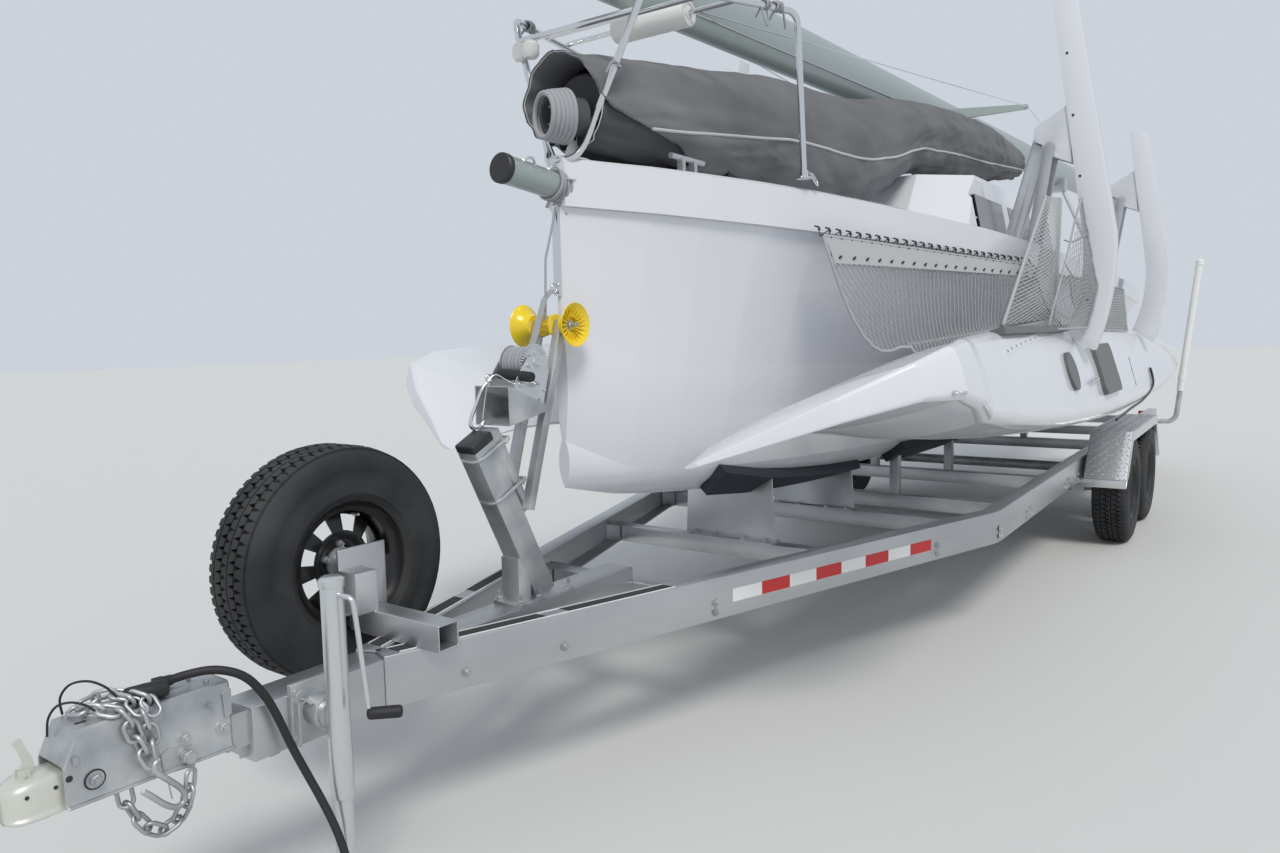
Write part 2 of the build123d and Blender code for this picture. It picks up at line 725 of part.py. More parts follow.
# Nets between hull and float
def net_solid(corners, thick):
    """A thin four cornered sheet, as two plates that share an edge."""
    a, b, c, d = [Vector(*p) for p in corners]
    normal = (b - a).cross(c - a).normalized()
    low = [p - normal * (thick / 2) for p in (a, b, c, d)]
    high = [p + normal * (thick / 2) for p in (a, b, c, d)]
    first = loft([make_face(Polyline(*low[:3], close=True)),
                  make_face(Polyline(*high[:3], close=True))], ruled=True)
    second = loft([make_face(Polyline(low[0], low[2], low[3], close=True)),
                   make_face(Polyline(high[0], high[2], high[3], close=True))], ruled=True)
    return first + second


NET_CORNERS = {
    "front": [(-900, 590, 1820), (-2700, 990, 1760), (-2600, 1085, 1440), (-1250, 1005, 1420)],
    "middle": [(-3320, 1010, 1750), (-5400, 1010, 1730), (-5300, 1055, 1395), (-3400, 1062, 1430)],
}


def make_net(name):
    net = net_solid(NET_CORNERS[name], 8) - make_float() - make_float_fittings()
    return net.solids().sort_by(SortBy.VOLUME)[-1]


# Trailer frame
def rail_centres():
    """Plan line of the port rail's web: the straight side and the run in to the tongue."""
    return [(TONGUE_X, TONGUE_HALF), (RAIL_BEND_X, RAIL_Y), (RAIL_AFT_X, RAIL_Y)]


def make_side_rail():
    """A channel with its web outward, bent once where the tongue runs in."""
    points = rail_centres()
    path = FilletPolyline(*[(x, y, RAIL_TOP_Z - RAIL_HEIGHT / 2) for x, y in points], radius=400)
    start = path @ 0
    plane = Plane(origin=start, x_dir=(0, 0, 1), z_dir=path % 0)
    h, f, t = RAIL_HEIGHT / 2, RAIL_FLANGE, RAIL_WEB
    inboard = 1 if plane.y_dir.Y < 0 else -1
    outline = [(-h, 0), (h, 0), (h, inboard * f), (h - t, inboard * f), (h - t, inboard * t),
               (-h + t, inboard * t), (-h + t, inboard * f), (-h, inboard * f)]
    section = plane * make_face(Polyline(*outline, close=True))
    return sweep(section, path=path)


CROSSBEAM_X = [-350, -1150, -2050, -2600, -3600, -5700, -6850, -8050]
CROSSBEAM_SIZE = 76
TONGUE_AFT_X = ACTUATOR_AFT_X + 60
TONGUE_TOP_Z = RAIL_TOP_Z - 8
CROSSBEAM_TOP_Z = RAIL_TOP_Z - RAIL_HEIGHT + RAIL_WEB + HULL_GAP + CROSSBEAM_SIZE


def rail_y_at(x):
    (x0, y0), (x1, y1), _ = rail_centres()
    if x < x1:
        return y1
    return y1 + (y0 - y1) * (x - x1) / (x0 - x1)


def make_cross_members():
    """Box beams between the two rails, and the box that joins the rails at the tongue."""
    beams = []
    half_size, top = CROSSBEAM_SIZE / 2, CROSSBEAM_TOP_Z
    for x in CROSSBEAM_X:
        slack = 14 if x > RAIL_BEND_X - 300 else RAIL_WEB + HULL_GAP
        half = rail_y_at(x + half_size) - slack
        beam = box(x - half_size, x + half_size, -half, half, top - CROSSBEAM_SIZE, top)
        inside = half_size - 6
        beam -= box(x - inside, x + inside, -half - 5, half + 5, top - CROSSBEAM_SIZE + 6, top - 6)
        beams.append(beam)
    tongue = box(CROSSBEAM_X[0] + half_size, TONGUE_AFT_X, -TONGUE_HALF + 2, TONGUE_HALF - 2,
                 RAIL_TOP_Z - RAIL_HEIGHT + 8, TONGUE_TOP_Z) - both(make_side_rail())
    return Compound([*beams, *tongue.solids()])


def make_actuator():
    """Surge brake housing with the ball coupler at its nose."""
    z = RAIL_TOP_Z
    body = box(TONGUE_AFT_X, 1520, -74, 74, z - 150, z + 40)
    body = body + box(1300, 1480, -60, 60, z + 30, z + 100)
    nose = box(1500, COUPLER_NOSE_X, -52, 52, z - 110, z - 30)
    nose = fillet(nose.edges().filter_by(Axis.Z).group_by(Axis.X)[-1], 45)
    skirt = Pos(COUPLER_NOSE_X - 70, 0, z - 120) * Cylinder(44, 60)
    shell = body + nose + skirt
    ball = Pos(COUPLER_NOSE_X - 70, 0, z - 150 + 19) * Cylinder(25.7, 40)
    dome = Pos(COUPLER_NOSE_X - 70, 0, z - 112) * Sphere(25.7)
    return shell - ball - dome


def make_coupler_latch():
    z = RAIL_TOP_Z
    return profile_side([(1640, z - 32), (1690, z - 32), (1712, z + 70), (1690, z + 74),
                         (1668, z - 6), (1640, z - 10)], 0, 14)


def make_jack_bracket():
    plate = box(JACK_X - 70, JACK_X + 70, TONGUE_HALF - 2, TONGUE_HALF + 13,
                RAIL_TOP_Z - 140, RAIL_TOP_Z + 20)
    collar = rod((JACK_X, TONGUE_HALF + 13, RAIL_TOP_Z - 60),
                 (JACK_X, JACK_Y - JACK_TUBE - 12, RAIL_TOP_Z - 60), 40)
    return plate + collar


def make_jack():
    """Swivel jack: outer tube, inner leg, foot, top cap and crank."""
    x, y = JACK_X, JACK_Y
    tube = rod((x, y, 330), (x, y, 880), JACK_TUBE)
    leg = rod((x, y, 26), (x, y, 340), JACK_TUBE - 5)
    foot = rod((x, y, 0), (x, y, 26), 78)
    cap = rod((x, y, 876), (x, y, 892), JACK_TUBE + 3)
    hub = rod((x, y - JACK_TUBE - 11.7, RAIL_TOP_Z - 60), (x, y - JACK_TUBE + 6, RAIL_TOP_Z - 60), 36)
    crank = pipe([(x, y, 850), (x, y + 70, 850), (x - 20, y + 96, 560)], 7, 30)
    grip = rod((x - 20, y + 92, 560), (x - 75, y + 150, 560), 14)
    return tube + leg + foot + cap + hub + crank + grip


def tyre_outline():
    """Half section of a tyre as (radius, width) from bead to tread."""
    return [(RIM_RADIUS + 1, 92), (RIM_RADIUS + 60, TYRE_WIDTH / 2), (TYRE_RADIUS - 48, 107),
            (TYRE_RADIUS - 8, 90), (TYRE_RADIUS, 66)]


def make_tyre(x, y, z):
    half = tyre_outline()
    outline = half + [(r, -w) for r, w in reversed(half)]
    points = [(x + r, y + w, z) for r, w in outline]
    face = make_face(Polyline(*points, close=True))
    return revolve(face, axis=Axis((x, y, z), (0, 1, 0)))


def make_rim(x, y, z, side):
    """A steel rim with slots, its disc toward the outside."""
    r = RIM_RADIUS
    outline = [(30, 10), (150, 10), (r - 14, 45), (r - 14, 80), (r + 0.7, 91), (r + 0.7, 70),
               (r - 30, 40), (r - 30, -60), (r + 0.7, -75), (r + 0.7, -91), (r - 10, -91),
               (r - 40, -62), (r - 40, 28), (148, 0), (30, 0)]
    points = [(x + a, y + side * b, z) for a, b in outline]
    disc = revolve(make_face(Polyline(*points, close=True)), axis=Axis((x, y, z), (0, 1, 0)))
    for index in range(8):
        angle = radians(45 * index)
        centre = (x + 112 * cos(angle), y, z + 112 * sin(angle))
        disc -= rod((centre[0], y - 60, centre[2]), (centre[0], y + 60, centre[2]), 19)
    return disc


def make_wheel(x, y, z, side):
    return Compound([make_tyre(x, y, z), make_rim(x, y, z, side)])


WHEELS = {
    "front_port": (FRONT_AXLE_X, 1), "front_stbd": (FRONT_AXLE_X, -1),
    "rear_port": (FRONT_AXLE_X - AXLE_SPACING, 1), "rear_stbd": (FRONT_AXLE_X - AXLE_SPACING, -1),
}


def make_axle(x):
    """Axle tube, drop seats and the stub that each hub turns on."""
    tube = rod((x, -905, TYRE_RADIUS), (x, 905, TYRE_RADIUS), 38)
    stub = rod((x, -WHEEL_Y - 40, TYRE_RADIUS), (x, WHEEL_Y + 40, TYRE_RADIUS), 29.95)
    seat = box(x - 60, x + 60, 860, 940, TYRE_RADIUS - 30, RAIL_TOP_Z - RAIL_HEIGHT)
    return tube + stub + seat + mirror(seat, about=Plane.XZ)


def make_fender():
    """A tread plate arch over both port wheels, with its two brackets."""
    x0, x1 = FRONT_AXLE_X + 470, FRONT_AXLE_X - AXLE_SPACING - 470
    top = FENDER_TOP_Z
    rise = 240
    outline = [(x0, 440), (x0 - rise, top), (x1 + rise, top), (x1, 440)]
    inner = [(x0 - FENDER_SHEET, 440), (x0 - rise - 2, top - FENDER_SHEET),
             (x1 + rise + 2, top - FENDER_SHEET), (x1 + FENDER_SHEET, 440)]
    ring = outline + list(reversed(inner))
    arch = profile_side(ring, 1120, 125)
    bracket = box(x0 - 30, x0 + 10, RAIL_Y, 1245, 430, 480)
    bracket2 = box(x1 - 10, x1 + 30, RAIL_Y, 1245, 430, 480)
    return arch + bracket + bracket2


# Bunks: carpeted planks that lie along the bottom: front x, after x, y where they touch it
BUNKS = [(-750, -2150, 130), (-2500, -3750, 250), (-4900, -6950, 250)]
BUNK_WIDTH = 140
BUNK_THICK = 46
TRESTLES = [(-1150, 130), (-2050, 130)]
POSTS = [(-2600, 250), (-3600, 250), (-5700, 250), (-6850, 250)]


def bottom_plane(x, y):
    """Plane across the boat on the hull's bottom: its x runs outboard along the skin."""
    row = smooth_row(HULL_SECTIONS, x)
    keel, bilge = (0, row[1]), (row[2], row[3])
    middle = arc_mid(keel, bilge, 0.12)
    skin = ThreePointArc((x, *keel), (x, *middle), (x, *bilge))
    share = y / row[2]
    return Plane(origin=skin @ share, x_dir=skin % share, z_dir=(1, 0, 0))


def make_bunk_pads():
    pads = []
    for front, aft, y in BUNKS:
        stations = [front + (aft - front) * step / 4 for step in range(5)]
        section = Pos(0, 5 - BUNK_THICK / 2) * Rectangle(BUNK_WIDTH, BUNK_THICK)
        plank = loft([bottom_plane(x, y) * section for x in stations], ruled=True)
        pads.append((plank - make_main_hull()).solids().sort_by(SortBy.VOLUME)[-1])
    return both(Compound(pads))


BUNK_PADS = make_bunk_pads()


def make_bunk_brackets():
    """Plate trestles under the forward bunks and square posts under the others."""
    parts = []
    base = CROSSBEAM_TOP_Z
    for x, y in TRESTLES:
        seat = bottom_plane(x, y)
        low = [seat.from_local_coords((reach, -BUNK_THICK + 8)) for reach in (-60, 60)]
        port = [(230, base), (230, base + 12), (low[1].Y, low[1].Z), (low[0].Y, low[0].Z)]
        plate = across(port + [(-y, z) for y, z in reversed(port)], x, 4)
        feet = box(x - 45, x + 45, -230, 230, base, base + 6)
        parts.append((plate + feet - BUNK_PADS).solids().sort_by(SortBy.VOLUME)[-1])
    for x, y in POSTS:
        top = bottom_plane(x, y).origin.Z - 20
        post = (box(x - 25, x + 25, y - 25, y + 25, base, top) - BUNK_PADS)
        post = post.solids().sort_by(Axis.Z)[0]
        parts.extend([post, mirror(post, about=Plane.XZ)])
    return Compound(parts)


# Winch stand: a post leaning forward, a carriage clamped on its after face with two braces
# that meet the bow roller's axle, and a wedge box that carries the winch
ROLLER_X, ROLLER_Z = 52, 1500
ROLLER_BORE = 8
POST_FOOT, POST_TOP = (150, 600), (415, 1128)
POST_WIDTH, POST_DEPTH = 76, 90
POST_LEAN = atan2(POST_TOP[0] - POST_FOOT[0], POST_TOP[1] - POST_FOOT[1])
CARRIAGE_DEPTH = 40
BRACE_Y, BRACE_SIZE = 48, 30
TRAY_AFT, TRAY_FRONT = 150, 338
TRAY_HALF, TRAY_WALL = 75, 4


def tray_top(x):
    """Height of the winch box's sloping top at x."""
    return 1235 + (x - TRAY_AFT) * 0.41


def tray_floor(x):
    return 1222 - (x - TRAY_AFT) * 0.19


def beside_post(z):
    """Middle of the carriage, aft of the post, where the post's own middle is at z."""
    x = POST_FOOT[0] + (z - POST_FOOT[1]) * tan(POST_LEAN)
    off = (POST_DEPTH + CARRIAGE_DEPTH) / 2 - 2
    return (x - off * cos(POST_LEAN), 0, z + off * sin(POST_LEAN))


def make_winch_box():
    """Wedge of folded plate, open to the front, its top sloping down aft."""
    def wedge(aft, front, inset, half):
        outline = [(aft, tray_floor(aft) + inset), (front, tray_floor(front) + inset),
                   (front, tray_top(front) - inset), (aft, tray_top(aft) - inset)]
        return profile_side(outline, 0, half)
    room = wedge(TRAY_AFT + 40, TRAY_FRONT + 1, TRAY_WALL, TRAY_HALF - TRAY_WALL)
    return wedge(TRAY_AFT, TRAY_FRONT, 0, TRAY_HALF) - room


def make_post_cap(slack=0.0):
    """Plastic cap on the post's end; with slack, the room that it needs."""
    x, z = POST_TOP
    start, end = [(x + t * sin(POST_LEAN), 0, z + t * cos(POST_LEAN))
                  for t in (HULL_GAP - slack, 30 + slack)]
    return bar(start, end, POST_WIDTH + 4 + 2 * slack, POST_DEPTH + 4 + 2 * slack)


def make_winch_post():
    post = bar((POST_FOOT[0], 0, POST_FOOT[1]), (POST_TOP[0], 0, POST_TOP[1]),
               POST_WIDTH, POST_DEPTH)
    gusset = box(228, 284, -POST_WIDTH / 2, POST_WIDTH / 2, TONGUE_TOP_Z, 748)
    foot = box(35, 302, -62, 62, TONGUE_TOP_Z, TONGUE_TOP_Z + 8)
    carriage = bar(beside_post(872), beside_post(1145), 70, CARRIAGE_DEPTH)
    stand = post + gusset + foot + carriage + make_winch_box()
    for side in (1, -1):
        y = side * BRACE_Y
        stand = stand + bar((240, y, 905), (ROLLER_X - 4, y, ROLLER_Z + 14),
                            BRACE_SIZE, BRACE_SIZE)
    stand = stand + rod((ROLLER_X, -118, ROLLER_Z), (ROLLER_X, 118, ROLLER_Z),
                        ROLLER_BORE - 0.1)
    return stand - make_post_cap(HULL_GAP) - box(-100, 600, -200, 200, 400, TONGUE_TOP_Z)


def make_bow_roller():
    """Ribbed V roller between the braces, and a flared bell outside each of them."""
    inner = BRACE_Y - BRACE_SIZE / 2 - 3
    outer = BRACE_Y + BRACE_SIZE / 2 + 3
    bore = ROLLER_BORE
    middle = [(bore, -inner), (39, -inner), (27, 0), (39, inner), (bore, inner)]
    bell = [(bore, outer), (36, outer), (41, outer + 14), (54, outer + 32), (72, outer + 48),
            (69, outer + 50), (46, outer + 34), (30, outer + 24), (bore, outer + 24)]
    rollers = []
    for outline in (middle, bell, [(r, -y) for r, y in bell]):
        points = [(ROLLER_X + r, y, ROLLER_Z) for r, y in outline]
        rollers.append(revolve(make_face(Polyline(*points, close=True)),
                               axis=Axis((ROLLER_X, 0, ROLLER_Z), (0, 1, 0))))
    return Compound(rollers)


REEL = (188, 1378)
CRANK_SHAFT = (214, 1312)


def make_winch():
    """Hand winch on the sloping box: side plates, wound reel, gear wheel and crank."""
    x, z = REEL
    a, b = 160, 306
    lift = 2 * HULL_GAP

    def seat(spot, more=0.0):
        return (spot, tray_top(spot) + lift + more)
    bed = profile_side([seat(a), seat(b), seat(b, 5), seat(a, 5)], 0, 63)
    reel = rod((x, -48, z), (x, 48, z), 34)
    reel = reel + rod((x, -53, z), (x, -48, z), 58) + rod((x, 47, z), (x, 54, z), 62)
    reel = reel + rod((x, -60, z), (x, 60, z), 10)
    outline = [seat(a + 4), seat(b - 12), (286, 1330), (222, 1402), (150, 1402), (132, 1350)]
    plates = profile_side(outline, 59, 2) + profile_side(outline, -59, 2)
    sx, sz = CRANK_SHAFT
    shaft = rod((sx, -60, sz), (sx, 80, sz), 9)
    crank = pipe([(sx, 74, sz), (sx + 4, 92, sz + 2), (268, 96, 1338)], 6, 8)
    grip = rod((264, -34, 1346), (262, 104, 1336), 16)
    return bed + reel + plates + shaft + crank + grip


# Spare wheel on a square tube across the tongue
SPARE_X, SPARE_Y, SPARE_Z = 715, -325, 790


def make_spare_carrier():
    tube = box(SPARE_X - 38, SPARE_X + 38, -215, 175, RAIL_TOP_Z, RAIL_TOP_Z + 77)
    tube -= box(SPARE_X - 33, SPARE_X + 33, -250, 200, RAIL_TOP_Z + 6, RAIL_TOP_Z + 72)
    riser = box(SPARE_X + 22, SPARE_X + 98, -170, -94, RAIL_TOP_Z + 77, RAIL_TOP_Z + 200)
    riser -= box(SPARE_X + 27, SPARE_X + 93, -165, -99, RAIL_TOP_Z + 90, RAIL_TOP_Z + 195)
    hub = rod((SPARE_X, -170, SPARE_Z), (SPARE_X, SPARE_Y - 60, SPARE_Z), 29.95)
    plate = box(SPARE_X - 70, SPARE_X + 98, -182, -170, RAIL_TOP_Z + 60, SPARE_Z + 70)
    return tube + riser + hub + plate


# Guide poles stand just abaft the floats' sterns, clear of their swing
GUIDE_X = -8140


def make_guide_poles():
    """Bent galvanised foot at each after corner with a white pipe standing in it."""
    foot = pipe([(GUIDE_X, RAIL_Y, 480), (GUIDE_X, 1146, 480), (GUIDE_X, 1177, 794)], 24, 90)
    return both(foot)


def make_guide_pipes():
    return both(rod((GUIDE_X, 1177, 794), (GUIDE_X, 1303, 2070), 31))


def make_tail_lamps():
    x = RAIL_AFT_X
    lamp = box(x - 60, x, 800, 960, RAIL_TOP_Z - 110, RAIL_TOP_Z - 30)
    return both(lamp)


CHAIN_WIRE = 4.5


def make_safety_chains():
    """Two short lengths of chain over the actuator, each link an oval ring."""
    links = []
    for row, y in enumerate((-38, 42)):
        for index in range(7):
            x = 1330 + 27 * index
            plane = Plane(origin=(x, y, RAIL_TOP_Z + 114), x_dir=(1, 0, 0),
                          z_dir=(0, 0, 1) if (index + row) % 2 else (0, 1, 0))
            path = plane * SlotCenterToCenter(20, 18)
            wire = path.wires()[0]
            ring = sweep(Plane(origin=wire @ 0, z_dir=wire % 0) * Circle(CHAIN_WIRE), path=wire)
            links.append(ring)
    return Compound([s for link in links for s in link.solids()])


# Wiring lead from the actuator's top, down past the jack to its plug on the ground
LEAD_RADIUS = 10
LEAD_POINTS = [
    (1392, 2, 722), (1366, 8, 752), (1316, 42, 764), (1268, 76, 722), (1228, 92, 648),
    (1198, 96, 572), (1174, 106, 492), (1152, 132, 416), (1134, 168, 342), (1122, 206, 266),
    (1120, 238, 188), (1128, 266, 112), (1154, 292, 48), (1204, 318, 14), (1268, 338, 11),
    (1332, 348, 11),
]


def lead_radii():
    """Bend radius at each inner point of the lead, as large as its two runs allow."""
    spots = [Vector(*point) for point in LEAD_POINTS]
    radii = []
    for a, b, c in zip(spots, spots[1:], spots[2:]):
        turn = radians((b - a).get_angle(c - b))
        radii.append(0.45 * min((b - a).length, (c - b).length) / tan(turn / 2))
    return radii


def make_wiring_lead():
    path = FilletPolyline(*LEAD_POINTS, radius=lead_radii())
    return sweep(Plane(origin=path @ 0, z_dir=path % 0) * Circle(LEAD_RADIUS), path=path)


def make_lead_plug():
    """Moulded trailer plug lying at the end of the lead."""
    end, before = Vector(*LEAD_POINTS[-1]), Vector(*LEAD_POINTS[-2])
    along = (end - before).normalized()
    grip = loft([Plane(origin=end + along * reach, z_dir=along) * Circle(radius)
                 for reach, radius in ((HULL_GAP, 10.5), (28, 10.8))], ruled=True)
    lift = Vector(0, 0, 11)
    head = rod(tuple(end + along * 26 + lift), tuple(end + along * 74 + lift), 21.8)
    return grip + head


def make_lead_gland():
    """Tapered strain relief on the actuator's top that the lead comes out of."""
    start, second = Vector(*LEAD_POINTS[0]), Vector(*LEAD_POINTS[1])
    along = (second - start).normalized()
    root = start - along * 40
    return loft([Plane(origin=root, z_dir=along) * Circle(17),
                 Plane(origin=start, z_dir=along) * Circle(12)], ruled=True)


print("lead bends, mm:", [round(radius) for radius in lead_radii()])


def pieces():
    """Every node of the part, by name."""
    table = {
        "main_hull": make_main_hull(),
        "deck_moulding": DECK,
        "cabin_windows": make_cabin_windows(),
        "companion_hatch": make_companion_hatch(),
        "washboard": make_washboard(),
        "sprit_tube": make_sprit_tube(),
        "bow_fitting": make_bow_fitting(),
        "pulpit": make_pulpit(),
        "mast": make_mast(),
        "spreaders": make_spreaders(),
        "mast_roller": make_mast_roller(),
        "mast_crutch": make_mast_crutch(),
        "sail_cover": make_sail_cover(),
        "sail_roll": make_sail_roll(),
        "boom_chocks": make_boom_chocks(),
        "deck_cleats": make_cleats(),
        "rudder": make_rudder(),
        "rudder_gudgeons": make_gudgeons(),
        "outboard_bracket": make_outboard_bracket(),
        "strut_pins": make_strut_pins(),
        "side_rails": both(make_side_rail()),
        "cross_members": make_cross_members(),
        "surge_actuator": make_actuator() + make_coupler_latch() + make_lead_gland(),
        "wiring_lead": make_wiring_lead(),
        "lead_plug": make_lead_plug(),
        "safety_chains": make_safety_chains(),
        "jack_bracket": make_jack_bracket(),
        "jack": make_jack(),
        "spare_wheel": make_wheel(SPARE_X, SPARE_Y, SPARE_Z, 1),
        "spare_carrier": make_spare_carrier(),
        "winch_post": make_winch_post(),
        "post_cap": make_post_cap(),
        "winch": make_winch(),
        "bow_roller": make_bow_roller(),
        "bunk_pads": BUNK_PADS,
        "bunk_brackets": make_bunk_brackets(),
        "axles": Compound([make_axle(FRONT_AXLE_X), make_axle(FRONT_AXLE_X - AXLE_SPACING)]),
        "fenders": both(make_fender()),
        "guide_feet": make_guide_poles(),
        "guide_pipes": make_guide_pipes(),
        "tail_lamps": make_tail_lamps(),
    }
    for name, (x, side) in WHEELS.items():
        table[f"wheel_{name}"] = make_wheel(x, side * WHEEL_Y, TYRE_RADIUS, side)
    port = {
        "float": make_float(),
        "float_fittings": make_float_fittings(),
        "beams": Compound([make_beam("front"), make_beam("aft")]),
        "net": Compound([make_net("front"), make_net("middle")]),
        "lower_struts": make_lower_struts(),
        "upper_struts": make_upper_struts(),
    }
    for name, shape in port.items():
        table[f"port_{name}"] = shape
        table[f"stbd_{name}"] = mirror(shape, about=Plane.XZ)
    return table


os.makedirs("parts", exist_ok=True)
for node, shape in pieces().items():
    save(node, shape)
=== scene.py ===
import bpy
import bmesh
import json
from math import atan2, cos, degrees, pi, radians, sin, tan
from mathutils import Matrix, Vector, noise
from mathutils.bvhtree import BVHTree

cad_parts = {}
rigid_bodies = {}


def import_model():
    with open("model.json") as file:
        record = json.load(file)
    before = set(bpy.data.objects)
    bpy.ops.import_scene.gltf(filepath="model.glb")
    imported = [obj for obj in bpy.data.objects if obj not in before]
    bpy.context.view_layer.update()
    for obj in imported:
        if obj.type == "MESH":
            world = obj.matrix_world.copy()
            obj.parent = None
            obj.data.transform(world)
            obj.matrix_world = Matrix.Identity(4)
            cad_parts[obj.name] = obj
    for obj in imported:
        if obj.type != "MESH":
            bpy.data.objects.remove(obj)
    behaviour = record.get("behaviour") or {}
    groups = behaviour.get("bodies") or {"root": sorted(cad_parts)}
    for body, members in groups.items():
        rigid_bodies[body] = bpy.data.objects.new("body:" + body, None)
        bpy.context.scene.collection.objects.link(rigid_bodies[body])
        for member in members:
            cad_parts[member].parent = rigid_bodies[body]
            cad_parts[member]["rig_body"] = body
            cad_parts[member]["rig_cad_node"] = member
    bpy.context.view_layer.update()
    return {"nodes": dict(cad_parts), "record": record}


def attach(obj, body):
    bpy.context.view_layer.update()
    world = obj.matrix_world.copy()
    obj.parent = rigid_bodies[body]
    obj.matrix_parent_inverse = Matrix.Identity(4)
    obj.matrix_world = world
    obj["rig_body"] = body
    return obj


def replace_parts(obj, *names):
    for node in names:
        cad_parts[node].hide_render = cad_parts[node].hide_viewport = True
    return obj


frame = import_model()
NODES = frame["nodes"]
RECORD = frame["record"]

# Places below are measured from the stem of the main hull; the row frame's X is this much more
STEM_X = 4.475
# The photo's camera: place, then yaw, pitch and roll in degrees, and focal length in mm
EYE = (2.39, 2.04, 1.46)
YAW, PITCH, ROLL, LENS = 35.57, 5.74, 1.22, 25.48
UP = Vector((0, 0, 1))
PORT = Vector((0, 1, 0))
SIDES = (("port", 1), ("stbd", -1))


def at(x, y, z):
    """A place given from the stem, in the row frame."""
    return Vector((x + STEM_X, y, z))


def all_at(places):
    return [at(*place) for place in places]


def circle(count):
    """The angles of a full turn in equal steps."""
    return [2 * pi * k / count for k in range(count)]


def radial(turn):
    """A direction in the X-Z plane, for parts that turn about Y."""
    return Vector((cos(turn), 0, sin(turn)))


def swing(side, other, turn):
    """A direction in the plane of two others."""
    return side * cos(turn) + other * sin(turn)


def smooth_path(points, steps):
    """More points along a smooth line through the given ones."""
    spots = [Vector(p) for p in points]
    out = []
    for i in range(len(spots) - 1):
        before, a = spots[max(i - 1, 0)], spots[i]
        b, after = spots[i + 1], spots[min(i + 2, len(spots) - 1)]
        for k in range(steps):
            t = k / steps
            out.append(0.5 * (2 * a + (b - before) * t + (2 * before - 5 * a + 4 * b - after) * t**2
                              + (3 * a - before - 3 * b + after) * t**3))
    out.append(spots[-1])
    return out


def sheet_faces(rows, columns, closed=False):
    """Faces between rows of points; a closed sheet joins its last column to its first."""
    return [(i * columns + k, i * columns + (k + 1) % columns,
             (i + 1) * columns + (k + 1) % columns, (i + 1) * columns + k)
            for i in range(rows - 1) for k in range(columns if closed else columns - 1)]


# ---------------------------------------------------------------- materials
def new_material(name, colour, rough, metal=0.0, coat=0.0):
    material = bpy.data.materials.new(name)
    material.use_nodes = True
    shader = material.node_tree.nodes["Principled BSDF"]
    shader.inputs["Base Color"].default_value = (*colour, 1)
    shader.inputs["Roughness"].default_value = rough
    shader.inputs["Metallic"].default_value = metal
    shader.inputs["Coat Weight"].default_value = coat
    return material


def object_noise(tree, scale, detail, stretch):
    """A noise texture in the object's own space."""
    place = tree.nodes.new("ShaderNodeTexCoord")
    mapping = tree.nodes.new("ShaderNodeMapping")
    mapping.inputs["Scale"].default_value = stretch
    grain = tree.nodes.new("ShaderNodeTexNoise")
    grain.inputs["Scale"].default_value = scale
    grain.inputs["Detail"].default_value = detail
    tree.links.new(place.outputs["Object"], mapping.inputs["Vector"])
    tree.links.new(mapping.outputs["Vector"], grain.inputs["Vector"])
    return grain


def add_bump(material, scale, strength, distance):
    """Fine relief."""
    tree = material.node_tree
    bump = tree.nodes.new("ShaderNodeBump")
    bump.inputs["Strength"].default_value = strength
    bump.inputs["Distance"].default_value = distance
    grain = object_noise(tree, scale, 4, (1, 1, 1))
    tree.links.new(grain.outputs["Fac"], bump.inputs["Height"])
    tree.links.new(bump.outputs["Normal"], tree.nodes["Principled BSDF"].inputs["Normal"])


def mottle(material, scale, dark, light, stretch=(1, 1, 1)):
    """Cloudy change between two colours, for galvanised, mill or dusty faces."""
    tree = material.node_tree
    ramp = tree.nodes.new("ShaderNodeValToRGB")
    for element, position, colour in zip(ramp.color_ramp.elements, (0.35, 0.68), (dark, light)):
        element.position = position
        element.color = (*colour, 1)
    grain = object_noise(tree, scale, 5, stretch)
    tree.links.new(grain.outputs["Fac"], ramp.inputs["Fac"])
    tree.links.new(ramp.outputs["Color"], tree.nodes["Principled BSDF"].inputs["Base Color"])


# slot: colour, roughness, metal, coat
LOOKS = {
    "gelcoat": ((0.7, 0.71, 0.745), 0.22, 0.0, 0.5),
    "smoked": ((0.025, 0.028, 0.032), 0.08, 0.0, 0.6),
    "mill_aluminium": ((0.6, 0.61, 0.62), 0.38, 0.9, 0.0),
    "netting": ((0.38, 0.39, 0.4), 0.85, 0.0, 0.0),
    "stainless": ((0.72, 0.73, 0.74), 0.14, 1.0, 0.0),
    "mast_paint": ((0.36, 0.41, 0.4), 0.35, 0.35, 0.1),
    "white_plastic": ((0.8, 0.8, 0.78), 0.42, 0.0, 0.0),
    "cover_cloth": ((0.145, 0.148, 0.156), 0.88, 0.0, 0.0),
    "cord_cloth": ((0.34, 0.35, 0.37), 0.85, 0.0, 0.0),
    "black_plastic": ((0.022, 0.022, 0.024), 0.45, 0.0, 0.0),
    "zinc": ((0.52, 0.54, 0.55), 0.45, 0.8, 0.0),
    "rubber": ((0.014, 0.014, 0.016), 0.6, 0.0, 0.0),
    "tyre": ((0.022, 0.023, 0.025), 0.78, 0.0, 0.0),
    "yellow_roller": ((0.85, 0.62, 0.02), 0.25, 0.0, 0.2),
    "carpet": ((0.025, 0.028, 0.04), 0.96, 0.0, 0.0),
    "tread_plate": ((0.68, 0.69, 0.7), 0.24, 1.0, 0.0),
    "lamp_red": ((0.5, 0.01, 0.01), 0.2, 0.0, 0.3),
}
LOOK = {slot: new_material(slot, *values) for slot, values in LOOKS.items()}
mottle(LOOK["mill_aluminium"], 2.2, (0.46, 0.47, 0.49), (0.66, 0.67, 0.68), (0.25, 1, 1))
